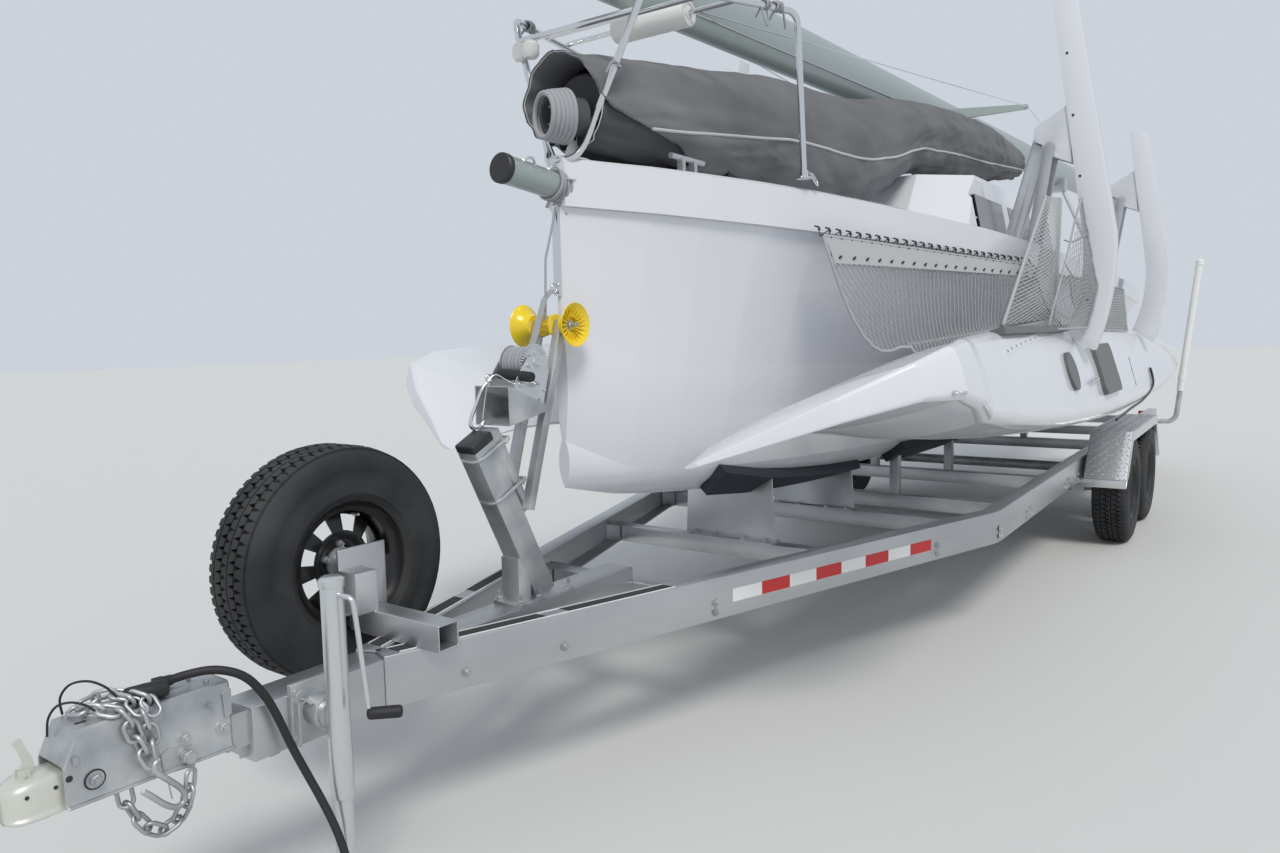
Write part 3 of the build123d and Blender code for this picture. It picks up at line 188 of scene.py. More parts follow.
mottle(LOOK["zinc"], 9, (0.4, 0.42, 0.44), (0.62, 0.63, 0.63))
mottle(LOOK["cover_cloth"], 1.6, (0.118, 0.12, 0.127), (0.182, 0.185, 0.193))
mottle(LOOK["tyre"], 5, (0.016, 0.017, 0.019), (0.04, 0.041, 0.042))
add_bump(LOOK["cover_cloth"], 620, 0.35, 0.0012)
add_bump(LOOK["carpet"], 900, 0.8, 0.002)
add_bump(LOOK["tyre"], 240, 0.15, 0.0008)
add_bump(LOOK["zinc"], 55, 0.12, 0.0008)
add_bump(LOOK["gelcoat"], 1.1, 0.02, 0.004)
# finish of single pieces: colour, roughness, metal, coat
PAINTS = {
    "red_tape": ((0.55, 0.02, 0.02), 0.35),
    "white_tape": ((0.78, 0.78, 0.78), 0.35),
    "rim_paint": ((0.018, 0.018, 0.019), 0.35, 0.3, 0.2),
    "white_rope": ((0.62, 0.62, 0.6), 0.8),
    "grit": ((0.035, 0.036, 0.038), 0.95),
    "piping": ((0.5, 0.51, 0.52), 0.7),
    "passivated": ((0.68, 0.69, 0.62), 0.34, 0.5),
    "bright_zinc": ((0.66, 0.68, 0.69), 0.3, 0.85),
    "hatch_glass": ((0.125, 0.132, 0.132), 0.5),
    "webbing": ((0.42, 0.43, 0.44), 0.85),
    "dark_cloth": ((0.075, 0.077, 0.083), 0.9),
    "brassy": ((0.62, 0.5, 0.22), 0.35, 0.8),
}
PAINT = {name: new_material(name, *values) for name, values in PAINTS.items()}


def linked(name, data):
    """A new object in the scene."""
    obj = bpy.data.objects.new(name, data)
    bpy.context.scene.collection.objects.link(obj)
    return obj


def finish_of(obj, slot, paint=None):
    """Gives a piece its material: the named paint, or else the look of its slot."""
    obj.data.materials.clear()
    obj.data.materials.append(PAINT[paint] if paint else LOOK[slot])
    return obj


# ---------------------------------------------------------------- mesh helpers
def shade(mesh, angle):
    """Smooth shading, with sharp edges from an angle in degrees."""
    for polygon in mesh.polygons:
        polygon.use_smooth = True
    mesh.set_sharp_from_angle(angle=radians(angle))


def thicken(obj, thickness, offset=-1):
    """Gives a sheet its thickness; offset -1 adds it inwards."""
    sheet = obj.modifiers.new("sheet", "SOLIDIFY")
    sheet.thickness = thickness
    sheet.offset = offset


def mesh_object(name, vertices, faces, slot, body="root", paint=None, angle=40):
    """A visible piece that rides on a body, with its finish."""
    mesh = bpy.data.meshes.new(name)
    mesh.from_pydata([tuple(v) for v in vertices], [], faces)
    mesh.validate()
    mesh.update()
    obj = linked(name, mesh)
    shade(mesh, angle)
    finish_of(obj, slot, paint)
    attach(obj, body)
    return obj


class Builder:
    """Collects tubes, blocks and discs into one mesh, so that a set of small parts is one piece."""

    def __init__(self):
        self.vertices = []
        self.faces = []

    def add(self, vertices, faces):
        base = len(self.vertices)
        self.vertices.extend(vertices)
        self.faces.extend([tuple(base + i for i in face) for face in faces])

    def tube(self, points, radius, sides, closed=False, caps=True):
        """A round tube along points; radius is one number or one for each point."""
        points = [Vector(p) for p in points]
        count = len(points)
        radii = radius if hasattr(radius, "__len__") else [radius] * count
        tangents = []
        for i in range(count):
            if closed:
                step = points[(i + 1) % count] - points[i - 1]
            else:
                step = points[min(i + 1, count - 1)] - points[max(i - 1, 0)]
            tangents.append(step.normalized())
        side = tangents[0].orthogonal().normalized()
        rings = []
        for i in range(count):
            side = (side - tangents[i] * side.dot(tangents[i])).normalized()
            other = tangents[i].cross(side)
            rings.append([points[i] + swing(side, other, turn) * radii[i]
                          for turn in circle(sides)])
        faces = []
        runs = count if closed else count - 1
        for i in range(runs):
            j = (i + 1) % count
            for k in range(sides):
                n = (k + 1) % sides
                faces.append((i * sides + k, i * sides + n, j * sides + n, j * sides + k))
        if caps and not closed:
            faces.append(tuple(reversed(range(sides))))
            faces.append(tuple((count - 1) * sides + k for k in range(sides)))
        self.add([v for ring in rings for v in ring], faces)

    def run(self, places, radius, sides, smooth=0):
        """A tube through places from the stem; smooth is the number of steps between two."""
        self.tube(all_at(smooth_path(places, smooth) if smooth else places), radius, sides)

    def block(self, centre, size, turn=None):
        """A block about centre; turn is a rotation matrix."""
        turn = turn or Matrix.Identity(3)
        corners = []
        for i in (-1, 1):
            for j in (-1, 1):
                for k in (-1, 1):
                    local = Vector((i * size[0] / 2, j * size[1] / 2, k * size[2] / 2))
                    corners.append(Vector(centre) + turn @ local)
        self.add(corners, [(0, 1, 3, 2), (4, 6, 7, 5), (0, 4, 5, 1), (2, 3, 7, 6), (0, 2, 6, 4),
                           (1, 5, 7, 3)])

    def bolt(self, centre, axis, radius, height):
        """A hexagon head with a slightly smaller top, standing on centre along axis."""
        axis = Vector(axis).normalized()
        centre = Vector(centre)
        self.tube([centre - axis * 0.001, centre + axis * height * 0.8, centre + axis * height],
                  [radius, radius, radius * 0.82], 6)

    def washer(self, centre, axis, radius, height):
        self.tube([Vector(centre) - Vector(axis) * 0.0005, Vector(centre) + Vector(axis) * height],
                  radius, 16)

    def nut(self, spot, out, washer, thickness, radius, height):
        """A bolt's head on its washer."""
        self.washer(spot, out, washer, thickness)
        self.bolt(Vector(spot) + Vector(out) * thickness, out, radius, height)

    def lathe(self, centre, axis, outline, sides):
        """Turns (radius, along) points about an axis; the outline is closed."""
        axis = Vector(axis).normalized()
        side = axis.orthogonal().normalized()
        other = axis.cross(side)
        count = len(outline)
        vertices = []
        for turn in circle(sides):
            out = swing(side, other, turn)
            vertices.extend([Vector(centre) + out * r + axis * a for r, a in outline])
        faces = []
        for k in range(sides):
            n = (k + 1) % sides
            for i in range(count):
                j = (i + 1) % count
                faces.append((k * count + i, k * count + j, n * count + j, n * count + i))
        self.add(vertices, faces)

    def made(self, name, slot, body="root", paint=None, angle=40):
        return mesh_object(name, self.vertices, self.faces, slot, body, paint, angle)


def rounded(node, width):
    """Stands in for a CAD node with the same shape, its edges softened."""
    source = NODES[node]
    obj = source.copy()
    obj.data = source.data.copy()
    obj.name = node + "_rounded"
    bpy.context.scene.collection.objects.link(obj)
    work = bmesh.new()
    work.from_mesh(obj.data)
    bmesh.ops.remove_doubles(work, verts=work.verts, dist=0.00002)
    bmesh.ops.dissolve_limit(work, angle_limit=radians(1.0), verts=work.verts,
                             edges=work.edges)
    edges = [e for e in work.edges if len(e.link_faces) == 2
             and e.calc_face_angle(0) > radians(35)]
    bmesh.ops.bevel(work, geom=edges, offset=width, segments=2, profile=0.5,
                    affect="EDGES", clamp_overlap=True)
    bmesh.ops.triangulate(work, faces=[f for f in work.faces if len(f.verts) > 4])
    work.to_mesh(obj.data)
    work.free()
    shade(obj.data, 30)
    body = source["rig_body"]
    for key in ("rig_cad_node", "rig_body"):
        if key in obj:
            del obj[key]
    obj.parent = None
    obj.matrix_world = Matrix.Identity(4)
    finish_of(obj, slot_of(node))
    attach(obj, body)
    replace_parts(obj, node)


def slot_of(node):
    """The material slot that the record gives a node."""
    for row in RECORD["subparts"]:
        if row["node"] == node:
            return row["material_slot"]
    return "gelcoat"


for name, node in NODES.items():
    finish_of(node, slot_of(name))
    shade(node.data, 28)

# ---------------------------------------------------------------- wiring lead
LEAD = [
    (1.392, 0.002, 0.704), (1.362, 0.01, 0.708), (1.312, 0.044, 0.712), (1.262, 0.078, 0.688),
    (1.226, 0.092, 0.634), (1.198, 0.096, 0.572), (1.174, 0.106, 0.492), (1.152, 0.132, 0.416),
    (1.134, 0.168, 0.342), (1.122, 0.206, 0.266), (1.12, 0.238, 0.188), (1.128, 0.266, 0.112),
    (1.154, 0.292, 0.048), (1.204, 0.318, 0.014), (1.268, 0.338, 0.0128), (1.332, 0.348, 0.0128),
]


def lead_length():
    """The curve's length: an arc between the middles of its legs, and half a leg at each end."""
    places, steps = all_at(LEAD), 12
    length = ((places[1] - places[0]).length + (places[-1] - places[-2]).length) / 2
    for a, b, c in zip(places, places[1:], places[2:]):
        first, second = (a + b) / 2, (b + c) / 2
        last = first
        for step in range(1, steps + 1):
            t = step / steps
            spot = first * (1 - t) ** 2 + b * 2 * t * (1 - t) + second * t * t
            length += (spot - last).length
            last = spot
    return length


def make_lead():
    """The lead as a curve, and the loose plug on its end, whose axis lies a little higher."""
    curve = bpy.data.curves.new("lead", "CURVE")
    curve.dimensions = "3D"
    curve.bevel_depth = 0.01
    curve.bevel_resolution = 3
    curve.resolution_u = 12
    curve.use_fill_caps = True
    spline = curve.splines.new("NURBS")
    spline.points.add(len(LEAD) - 1)
    for point, place in zip(spline.points, LEAD):
        point.co = (*at(*place), 1)
    spline.order_u = 3
    spline.use_endpoint_u = True
    lead = linked("lead", curve)
    finish_of(lead, "rubber")
    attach(lead, "root")
    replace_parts(lead, "wiring_lead")
    plug = Builder()
    end, before = at(*LEAD[-1]), at(*LEAD[-2])
    along = (end - before).normalized()
    plug.tube([end + along * t for t in (0.0005, 0.012, 0.026)], [0.0106, 0.0112, 0.0125], 20)
    axis = end + UP * 0.011
    plug.tube([axis + along * t for t in (0.026, 0.034, 0.04, 0.066, 0.0665, 0.074)],
              [0.015, 0.0195, 0.0205, 0.0205, 0.0218, 0.0218], 28)
    piece = plug.made("plug", "black_plastic")
    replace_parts(piece, "lead_plug")
    lead_length()


make_lead()


# ---------------------------------------------------------------- CAD pieces with softened edges
for node, width in (("port_beams", 0.018), ("stbd_beams", 0.018), ("side_rails", 0.0022),
                    ("winch_post", 0.003), ("spare_carrier", 0.003), ("jack_bracket", 0.002),
                    ("bunk_brackets", 0.002), ("fenders", 0.0015), ("rudder", 0.006),
                    ("companion_hatch", 0.004), ("cross_members", 0.003), ("post_cap", 0.006),
                    ("port_upper_struts", 0.002), ("stbd_upper_struts", 0.002),
                    ("port_lower_struts", 0.0018), ("stbd_lower_struts", 0.0018)):
    rounded(node, width)


# ---------------------------------------------------------------- rolled sail's cover
COVER_END = -5.6
TIE_STEP = 0.98  # from one tie of the cover to the next
# x, y and z of the middle, half width, half height
COVER = [
    (-0.045, 0.01, 2.238, 0.15, 0.172), (-0.35, 0.026, 2.262, 0.182, 0.196),
    (-1.3, 0.08, 2.316, 0.215, 0.262), (-2.1, 0.11, 2.355, 0.226, 0.29),
    (-2.9, 0.125, 2.572, 0.212, 0.21), (-4.3, 0.13, 2.7, 0.205, 0.215),
    (COVER_END, 0.13, 2.79, 0.11, 0.12),
]


def along_table(rows, x):
    """A smooth row of a table whose first column falls."""
    for k in range(len(rows) - 1):
        if rows[k + 1][0] <= x <= rows[k][0]:
            break
    before, a = rows[max(k - 1, 0)], rows[k]
    b, after = rows[k + 1], rows[min(k + 2, len(rows) - 1)]
    t = (x - a[0]) / (b[0] - a[0])
    out = []
    for i in range(1, len(a)):
        low = (b[i] - before[i]) / (b[0] - before[0]) * (b[0] - a[0])
        high = (after[i] - a[i]) / (after[0] - a[0]) * (b[0] - a[0])
        out.append((2 * t**3 - 3 * t**2 + 1) * a[i] + (t**3 - 2 * t**2 + t) * low
                   + (3 * t**2 - 2 * t**3) * b[i] + (t**3 - t**2) * high)
    return out


def cover_point(x, turn, inset=0.0):
    """A place on the cover's cloth: turn runs round it from the top towards port."""
    y, z, half, high = along_table(COVER, min(max(x, COVER_END), COVER[0][0]))
    side, rise = sin(turn), cos(turn)
    tight = 1 - 0.5 * abs(sin(pi * (x + 0.3) / TIE_STEP)) ** 0.35
    slack = max(0.0, 0.75 - rise) * (0.45 + 0.55 * (1 - tight))
    long_folds = noise.noise(Vector((x * 1.1, turn * 2.6, 3.0)))
    cross_folds = noise.noise(Vector((x * 5.5 + turn * 2.2, turn * 1.7, 8.0)))
    fine = noise.noise(Vector((x * 14 - turn * 3.0, turn * 5.0, 1.0)))
    crease = abs(noise.noise(Vector((x * 3.2 - turn * 1.6, turn * 3.1, 21.0))))
    push = 0.02 * long_folds + 0.014 * cross_folds + 0.004 * fine - 0.022 * crease * slack
    push -= 0.01 * max(0.0, 1 - abs(((x + 0.62) / TIE_STEP) % 1.0 - 0.5) * 14)
    size = 1.0 + push / max(half, 0.05) * (0.5 + 0.5 * slack)
    foot = 1.0 + 0.16 * max(0.0, -rise) ** 2
    y += (half - inset) * size * side * foot
    z += (high - inset) * size * rise
    return at(x, y, z)


# where the cover's mouth begins, by turn in degrees from the top towards port
MOUTH = [(0, -0.005), (30, -0.02), (60, -0.02), (80, -0.06), (94, -0.1), (104, -0.19),
         (115, -0.315), (128, -0.5), (150, -0.62), (180, -0.55), (210, -0.3), (240, -0.05),
         (270, -0.005), (360, -0.005)]


def mouth(turn):
    """X of the mouth's edge at a turn."""
    angle = degrees(turn) % 360
    for (a, x), (b, y) in zip(MOUTH, MOUTH[1:]):
        if a <= angle <= b:
            return x + (y - x) * (angle - a) / (b - a)


def make_cover():
    """The cloth with its mouth turned in, the piping along its seams, and the flap inside it."""
    around, along = 120, 230
    turns = circle(around)
    rings = []
    for depth, inset in ((0.2, 0.03), (0.11, 0.022), (0.05, 0.014), (0.015, 0.006)):
        rings.append([cover_point(mouth(t) - depth, t, inset) for t in turns])
    for i in range(along + 1):
        rings.append([cover_point(mouth(t) + (COVER_END - mouth(t)) * i / along, t) for t in turns])
    vertices = [v for ring in rings for v in ring] + [at(-5.66, 0.13, 2.79)]
    last = (len(rings) - 1) * around
    faces = sheet_faces(len(rings), around, closed=True)
    faces += [(last + k, last + (k + 1) % around, len(vertices) - 1) for k in range(around)]
    cover = mesh_object("cover", vertices, faces, "cover_cloth", angle=180)
    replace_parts(cover, "sail_cover")
    piping = Builder()
    for turn in (1.72, 2 * pi - 1.72):
        low = 1 if turn < 3 else -1
        seam = []
        for i in range(201):
            x = -0.315 - 5.285 * i / 200
            drop = 0.31 * max(0.0, x + 1.2) + 0.36 * min(max((-2.2 - x) / 0.9, 0.0), 1.0)
            seam.append(cover_point(x, turn + low * drop))
        piping.tube(seam, 0.0062, 6)
    edge = [(cover_point(mouth(t), t) + cover_point(mouth(t) - 0.015, t, 0.006)) / 2
            for t in turns[:44] + turns[78:]]
    piping.tube(edge[44:] + edge[:44], 0.0022, 5)
    piping.made("cover_piping", "cover_cloth", paint="piping")
    flap, hem = Builder(), Builder()
    rows = [[cover_point(-0.085 - 0.045 * i, 1.15 + 3.1 * k / 40, 0.018) for k in range(41)]
            for i in range(16)]
    flap.add([v for row in rows for v in row], sheet_faces(16, 41))
    thicken(flap.made("cover_flap", "cover_cloth", paint="dark_cloth", angle=180), 0.002)
    hem.tube([v + Vector((0.002, 0, 0)) for v in rows[0]], 0.0022, 5)
    hem.made("flap_hem", "cover_cloth", paint="piping")


make_cover()


def make_roll_end():
    """The rolled sail's end in the cover's mouth, with the ribbed hose that is coiled on it."""
    axis = Vector((0.92, -0.38, -0.05)).normalized()
    front = at(0.045, 0.0, 2.193)
    roll = Builder()
    roll.lathe(front - axis * 0.14, axis, [(0.0, 0.0), (0.064, 0.0), (0.06, 0.125),
                                           (0.05, 0.125), (0.048, 0.06), (0.0, 0.06)], 48)
    roll.lathe(at(-0.42, 0.02, 2.235), (1, -0.03, 0), [(0.0, 0.0), (0.135, 0.0), (0.132, 0.27),
                                                      (0.12, 0.29), (0.0, 0.295)], 48)
    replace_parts(roll.made("sail_roll_end", "cord_cloth", paint="dark_cloth", angle=30), "sail_roll")
    side = axis.cross(UP).normalized()
    other = axis.cross(side)
    coil = Builder()
    for k, radius in enumerate((0.07, 0.074, 0.077, 0.079, 0.081, 0.083)):
        centre = front - axis * 0.0148 * k
        coil.tube([centre + swing(side, other, t) * radius + axis * 0.001 * sin(3 * t + k)
                   for t in circle(56)], 0.0092, 10, closed=True)
    for turn in (0.4, 1.7, 2.9, 4.1, 5.4):
        out = swing(side, other, turn)
        coil.tube([front - axis * 0.06 + out * 0.012, front - axis * 0.03 + out * 0.06], 0.0035, 6)
    coil.made("hose_coil", "cord_cloth")


make_roll_end()


# ---------------------------------------------------------------- pulpit, bowsprit and bow lines
def bent(points, radius):
    """Straight runs between points with a rounded bend at each inner one."""
    spots, steps = [Vector(p) for p in points], 7
    out = [spots[0]]
    for before, here, after in zip(spots, spots[1:], spots[2:]):
        reach = min(radius, (here - before).length * 0.45, (after - here).length * 0.45)
        a = here + (before - here).normalized() * reach
        b = here + (after - here).normalized() * reach
        for k in range(steps + 1):
            t = k / steps
            out.append(a * (1 - t) ** 2 + here * 2 * t * (1 - t) + b * t * t)
    return out + [spots[-1]]


def knot(builder, centre, axis, around, wire, turns=3, tails=2):
    """Turns of a line round a tube with loose tails."""
    axis = Vector(axis).normalized()
    side = axis.orthogonal().normalized()
    other = axis.cross(side)
    points = []
    for k in range(turns * 16 + 1):
        t = 2 * pi * k / 16
        points.append(Vector(centre) + swing(side, other, t)
                      * (around + wire * (1 + 0.4 * sin(t * 1.7)))
                      + axis * wire * (1.9 * k / 16 - 1.9 * turns / 2 + 0.8 * sin(2.3 * t)))
    builder.tube(points, wire, 7)
    for k in range(tails):
        drop = Vector((0.035 * (-1) ** k, -0.02 + 0.03 * k, -0.035 - 0.02 * k))
        builder.tube(smooth_path([points[-1 - 9 * k], points[-1 - 9 * k] + drop * 0.3
                                  + Vector((0.012, 0, 0.008)), points[-1] + drop], 5), wire, 6)


def make_pulpit():
    """The pulpit's tubes with their feet and shackle, its tang, lights and lines."""
    radius = 0.0125
    rail = Builder()
    half = [(-0.006, 0.0, 2.052), (-0.03, 0.058, 2.056), (-0.062, 0.08, 2.1),
            (-0.13, 0.26, 2.525), (-0.143, 0.288, 2.606), (-0.56, 0.41, 2.634),
            (-0.845, 0.492, 2.652), (-0.88, 0.5, 2.062)]
    path = [at(x, -y, z) for x, y, z in reversed(half[1:])] + all_at(half)
    rail.tube(bent(path, 0.055), radius, 16)
    rail.run([(-0.13, -0.252, 2.522), (-0.13, 0.252, 2.522)], radius * 0.9, 14)
    rail.run([(-0.6, -0.425, 2.656), (-0.6, 0.425, 2.656)], 0.01, 12)
    rail.run([(-0.4, -0.362, 2.622), (-0.4, 0.362, 2.622)], radius * 0.8, 12)
    for side in (1, -1):
        rail.lathe(at(-0.8815, 0.5 * side, 2.045), UP,
                   [(0.0, 0.0), (0.03, 0.0), (0.03, 0.005), (0.017, 0.008), (0.017, 0.03),
                    (0.0, 0.03)], 24)
        for turn in range(3):
            spread = Vector((0.022 * cos(turn * 2.09), 0.022 * sin(turn * 2.09), 0))
            rail.bolt(at(-0.8815, 0.5 * side, 2.05) + spread, UP, 0.0045, 0.003)
    shackle = [(-0.905, 0.512, 2.072), (-0.918, 0.524, 2.04), (-0.935, 0.532, 2.022),
               (-0.945, 0.524, 2.04), (-0.925, 0.512, 2.072)]
    rail.run(shackle, 0.0035, 8, 5)
    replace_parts(rail.made("pulpit_tubes", "stainless", angle=60), "pulpit")
    tang = Builder()
    prism(tang, [(-0.098, 2.045), (-0.01, 2.045), (-0.066, 2.15), (-0.084, 2.15)], 0.024, 0.03)
    tang.made("tang", "white_plastic")
    # Painted shade: a thin black disc stands for the tang's hole.
    hole = Builder()
    hole.run([(-0.074, 0.03, 2.132), (-0.074, 0.0306, 2.132)], 0.007, 14)
    hole.made("tang_hole_shade", "black_plastic")
    light = Builder()
    for y in (-0.232, -0.185):
        light.lathe(at(-0.105, y, 2.445), UP,
                    [(0.0, 0.0), (0.022, 0.0), (0.03, 0.012), (0.031, 0.045), (0.02, 0.058),
                     (0.0, 0.06)], 24)
    light.block(at(-0.118, -0.208, 2.492), (0.03, 0.07, 0.012))
    light.made("bow_lights", "white_plastic", angle=40)
    lines = Builder()
    knot(lines, at(-0.075, -0.135, 2.225), (-0.07, -0.18, 0.44), 0.0125, 0.0034)
    knot(lines, at(-0.105, 0.19, 2.355), (-0.07, 0.18, 0.44), 0.0125, 0.0034, 2, 1)
    knot(lines, at(-0.24, -0.31, 2.612), (-0.42, -0.12, 0.03), 0.0125, 0.0042, 5, 2)
    knot(lines, at(-0.74, 0.462, 2.65), (-0.28, 0.08, 0.02), 0.0125, 0.004, 5, 2)
    knot(lines, at(-0.68, 0.445, 2.646), (-0.28, 0.08, 0.02), 0.0125, 0.0036, 3, 1)
    hang = [(-0.65, 0.44, 2.64), (-0.655, 0.452, 2.59), (-0.672, 0.456, 2.566),
            (-0.69, 0.452, 2.59), (-0.684, 0.444, 2.64)]
    lines.run(hang, 0.003, 7, 6)
    lines.made("pulpit_lines", "cord_cloth", angle=60)
    inner = Builder()
    inner.tube([at(-0.07, -0.11, 2.185), at(-0.045, -0.03, 2.06), at(-0.02, 0.03, 1.998)],
               0.0055, 10)
    inner.made("pulpit_brace", "stainless")


def make_sprit():
    """The bowsprit with its cap, straps, plate and lashing."""
    root, tip = at(-0.03, 0.0, 1.966), at(0.258, 0.0, 1.994)
    along = (tip - root).normalized()
    tube = Builder()
    tube.tube([root, tip], 0.046, 40)
    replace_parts(tube.made("sprit", "mast_paint", angle=50), "sprit_tube")
    cap = Builder()
    cap.lathe(tip - along * 0.012, along, [(0.046, 0.0), (0.0485, 0.0), (0.0485, 0.016),
                                           (0.044, 0.02), (0.0, 0.021), (0.0, 0.012)], 40)
    cap.made("sprit_cap", "black_plastic", angle=35)
    metal, up = Builder(), Vector((0, 0.62, 0.78)).normalized()
    for share in (0.66, 0.24):
        base = root.lerp(tip, share) + up * 0.046
        ends = [base + along * 0.026, base - along * 0.026]
        metal.tube(smooth_path([ends[0], ends[0].lerp(base, 0.4) + up * 0.013, base + up * 0.017,
                                ends[1].lerp(base, 0.4) + up * 0.013, ends[1]], 4), 0.0042, 8)
        for end in ends:
            metal.bolt(end, up, 0.0062, 0.005)
    metal.lathe(at(-0.028, 0, 1.985), UP, [(0.0, 0.0), (0.062, 0.0), (0.062, 0.004),
                                                  (0.0, 0.004)], 20)
    metal.made("sprit_straps", "stainless", angle=35)
    rope = Builder()
    side = along.orthogonal().normalized()
    other = along.cross(side)
    for k in range(5):
        centre = root + along * (0.01 + 0.011 * k)
        rope.tube([centre + swing(side, other, t) * 0.0515 + along * 0.007 * sin(t + k)
                   for t in circle(40)], 0.0052, 8, closed=True)
    low = root + along * 0.03 + Vector((0, 0.006, -0.052))
    knot(rope, low, UP, 0.006, 0.0046, 3, 2)
    rope.tube([low, at(0.062, 0, 1.72), at(0.072, 0, 1.503)], 0.004, 8)
    rope.made("sprit_lashing", "cord_cloth", angle=60)


# ---------------------------------------------------------------- nets
def net_point(corners, u, v, sag):
    """A place on a net: u runs along its top edge, v from the top down."""
    a, b, c, d = [Vector(p) for p in corners]
    top, low = a.lerp(b, u), d.lerp(c, u)
    drop = sag * sin(pi * min(v * 1.15, 1)) * (1 - 0.65 * u)
    ripple = 0.006 * noise.noise(Vector((u * 9, v * 3, 2)))
    place = top.lerp(low, v)
    return at(place.x, place.y + ripple, place.z - drop)


def mirrored(points, side):
    """The same points, on the starboard side where side is -1."""
    return [Vector((p.x, p.y * side, p.z)) for p in points]


def net_mesh(builder, corners, side, cells, sag):
    """Diamond netting between four corners, with a webbing hem all round."""
    a, b, c, d = [Vector(p) for p in corners]
    length, height = (b - a).length, ((d - a).length + (c - b).length) / 2
    lines = int(length / cells)
    lean = height / length
    steps = max(int(height / cells), 3)
    for k in range(-int(lean * lines) - 1, lines + 1):
        for way in (1, -1):
            points = []
            for i in range(steps + 1):
                v = i / steps
                u = k / lines + (v if way > 0 else 1 - v) * lean
                if 0 <= u <= 1:
                    points.append(net_point(corners, u, v, sag))
            if len(points) > 1:
                builder.tube(mirrored(points, side), 0.0019, 4, caps=False)
    hem = [net_point(corners, i / 30, 0, sag) for i in range(31)]
    hem += [net_point(corners, 1, i / 10, sag) for i in range(1, 11)]
    hem += [net_point(corners, 1 - i / 30, 1, sag) for i in range(1, 31)]
    hem += [net_point(corners, 0, 1 - i / 10, sag) for i in range(1, 10)]
    builder.tube(mirrored(hem, side), 0.0062, 6, closed=True)


# each net's corners (top ahead, top astern, low astern, low ahead) and its sag
NETS = {
    "front": ([(-0.87, 0.585, 1.822), (-2.6, 0.965, 1.77), (-2.74, 1.085, 1.452),
               (-1.11, 0.88, 1.345)], 0.19),
    "middle": ([(-3.32, 1.005, 1.75), (-5.4, 1.005, 1.73), (-5.3, 1.055, 1.415),
                (-3.4, 1.062, 1.445)], 0.05),
}


def make_nets():
    """The diamond netting of each side, and the front net's lacing over its hooks."""
    for label, side in SIDES:
        net = Builder()
        for corners, sag in NETS.values():
            net_mesh(net, corners, side, 0.034, sag)
        panel = [(-2.985, 1.115, 2.14), (-2.985, 1.205, 1.66), (-2.965, 1.165, 1.45),
                 (-2.42, 1.075, 1.445)]
        net_mesh(net, panel, side, 0.034, 0.0)
        piece = net.made(f"{label}_netting", "netting", f"{label}_float_body", angle=180)
        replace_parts(piece, f"{label}_net")
        lacing = Builder()
        line = []
        for i in range(27):
            u = i / 26
            hem = net_point(NETS["front"][0], u, 0, 0)
            hook = hem + Vector((0, -0.022, 0.03))
            line += mirrored([hook, hem + Vector((0.03, 0, -0.004))], side)
            shank = [hook + Vector((0, -0.014, 0.01)), hook + Vector((0, 0.004, 0.004)),
                     hook + Vector((0, 0.008, -0.006)), hook + Vector((0, 0.002, -0.01))]
            lacing.tube(mirrored(shank, side), 0.0034, 6)
        lacing.tube(line, 0.0024, 5)
        lacing.made(f"{label}_net_lacing", "netting", f"{label}_float_body",
                    paint="grit", angle=180)


make_nets()


# ---------------------------------------------------------------- tyres and rims
# centre and outboard side
WHEELS = {
    "spare_wheel": ((0.715, -0.325, 0.79), 1),
    "wheel_front_port": ((-4.45, 1.13, 0.36), 1),
    "wheel_front_stbd": ((-4.45, -1.13, 0.36), -1),
    "wheel_rear_port": ((-5.31, 1.13, 0.36), 1),
    "wheel_rear_stbd": ((-5.31, -1.13, 0.36), -1),
}


def tyre_ring(builder, centre):
    """Carcass with beads, sidewall steps and shoulders, then a tread of cut blocks."""
    outline = [(0.193, 0.088), (0.2, 0.097), (0.212, 0.101), (0.216, 0.1065), (0.248, 0.1105),
               (0.252, 0.1085), (0.29, 0.1085), (0.294, 0.11), (0.318, 0.1045),
               (0.336, 0.097), (0.3465, 0.086), (0.3475, 0.0)]
    full = outline + [(r, -w) for r, w in reversed(outline[:-1])]
    builder.lathe(centre, (0, 1, 0), full, 96)
    count = 68
    ribs = [(-0.083, -0.052, 0.0), (-0.046, -0.018, 0.35), (-0.012, 0.012, 0.0),
            (0.018, 0.046, 0.35), (0.052, 0.083, 0.0)]
    for low, high, shift in ribs:
        edge = 0.006 if abs(low) > 0.05 or abs(high) > 0.05 else 0.0
        for k in range(count):
            start = 2 * pi * (k + shift) / count
            span = 2 * pi / count * 0.8
            skew = 0.3 * span * (1 if shift else -1)
            vertices = []
            for turn, lean in ((start, -skew), (start + span, skew)):
                for w, drop in ((low, edge if low < -0.05 else 0),
                                (high, edge if high > 0.05 else 0)):
                    for r in (0.344, 0.36 - drop):
                        angle = turn + (lean if w == low else -lean) * 0.5
                        vertices.append(Vector(centre) + Vector((r * cos(angle), w,
                                                                 r * sin(angle))))
            builder.add(vertices, [(0, 1, 3, 2), (4, 6, 7, 5), (1, 5, 7, 3), (0, 4, 5, 1),
                                   (2, 3, 7, 6)])


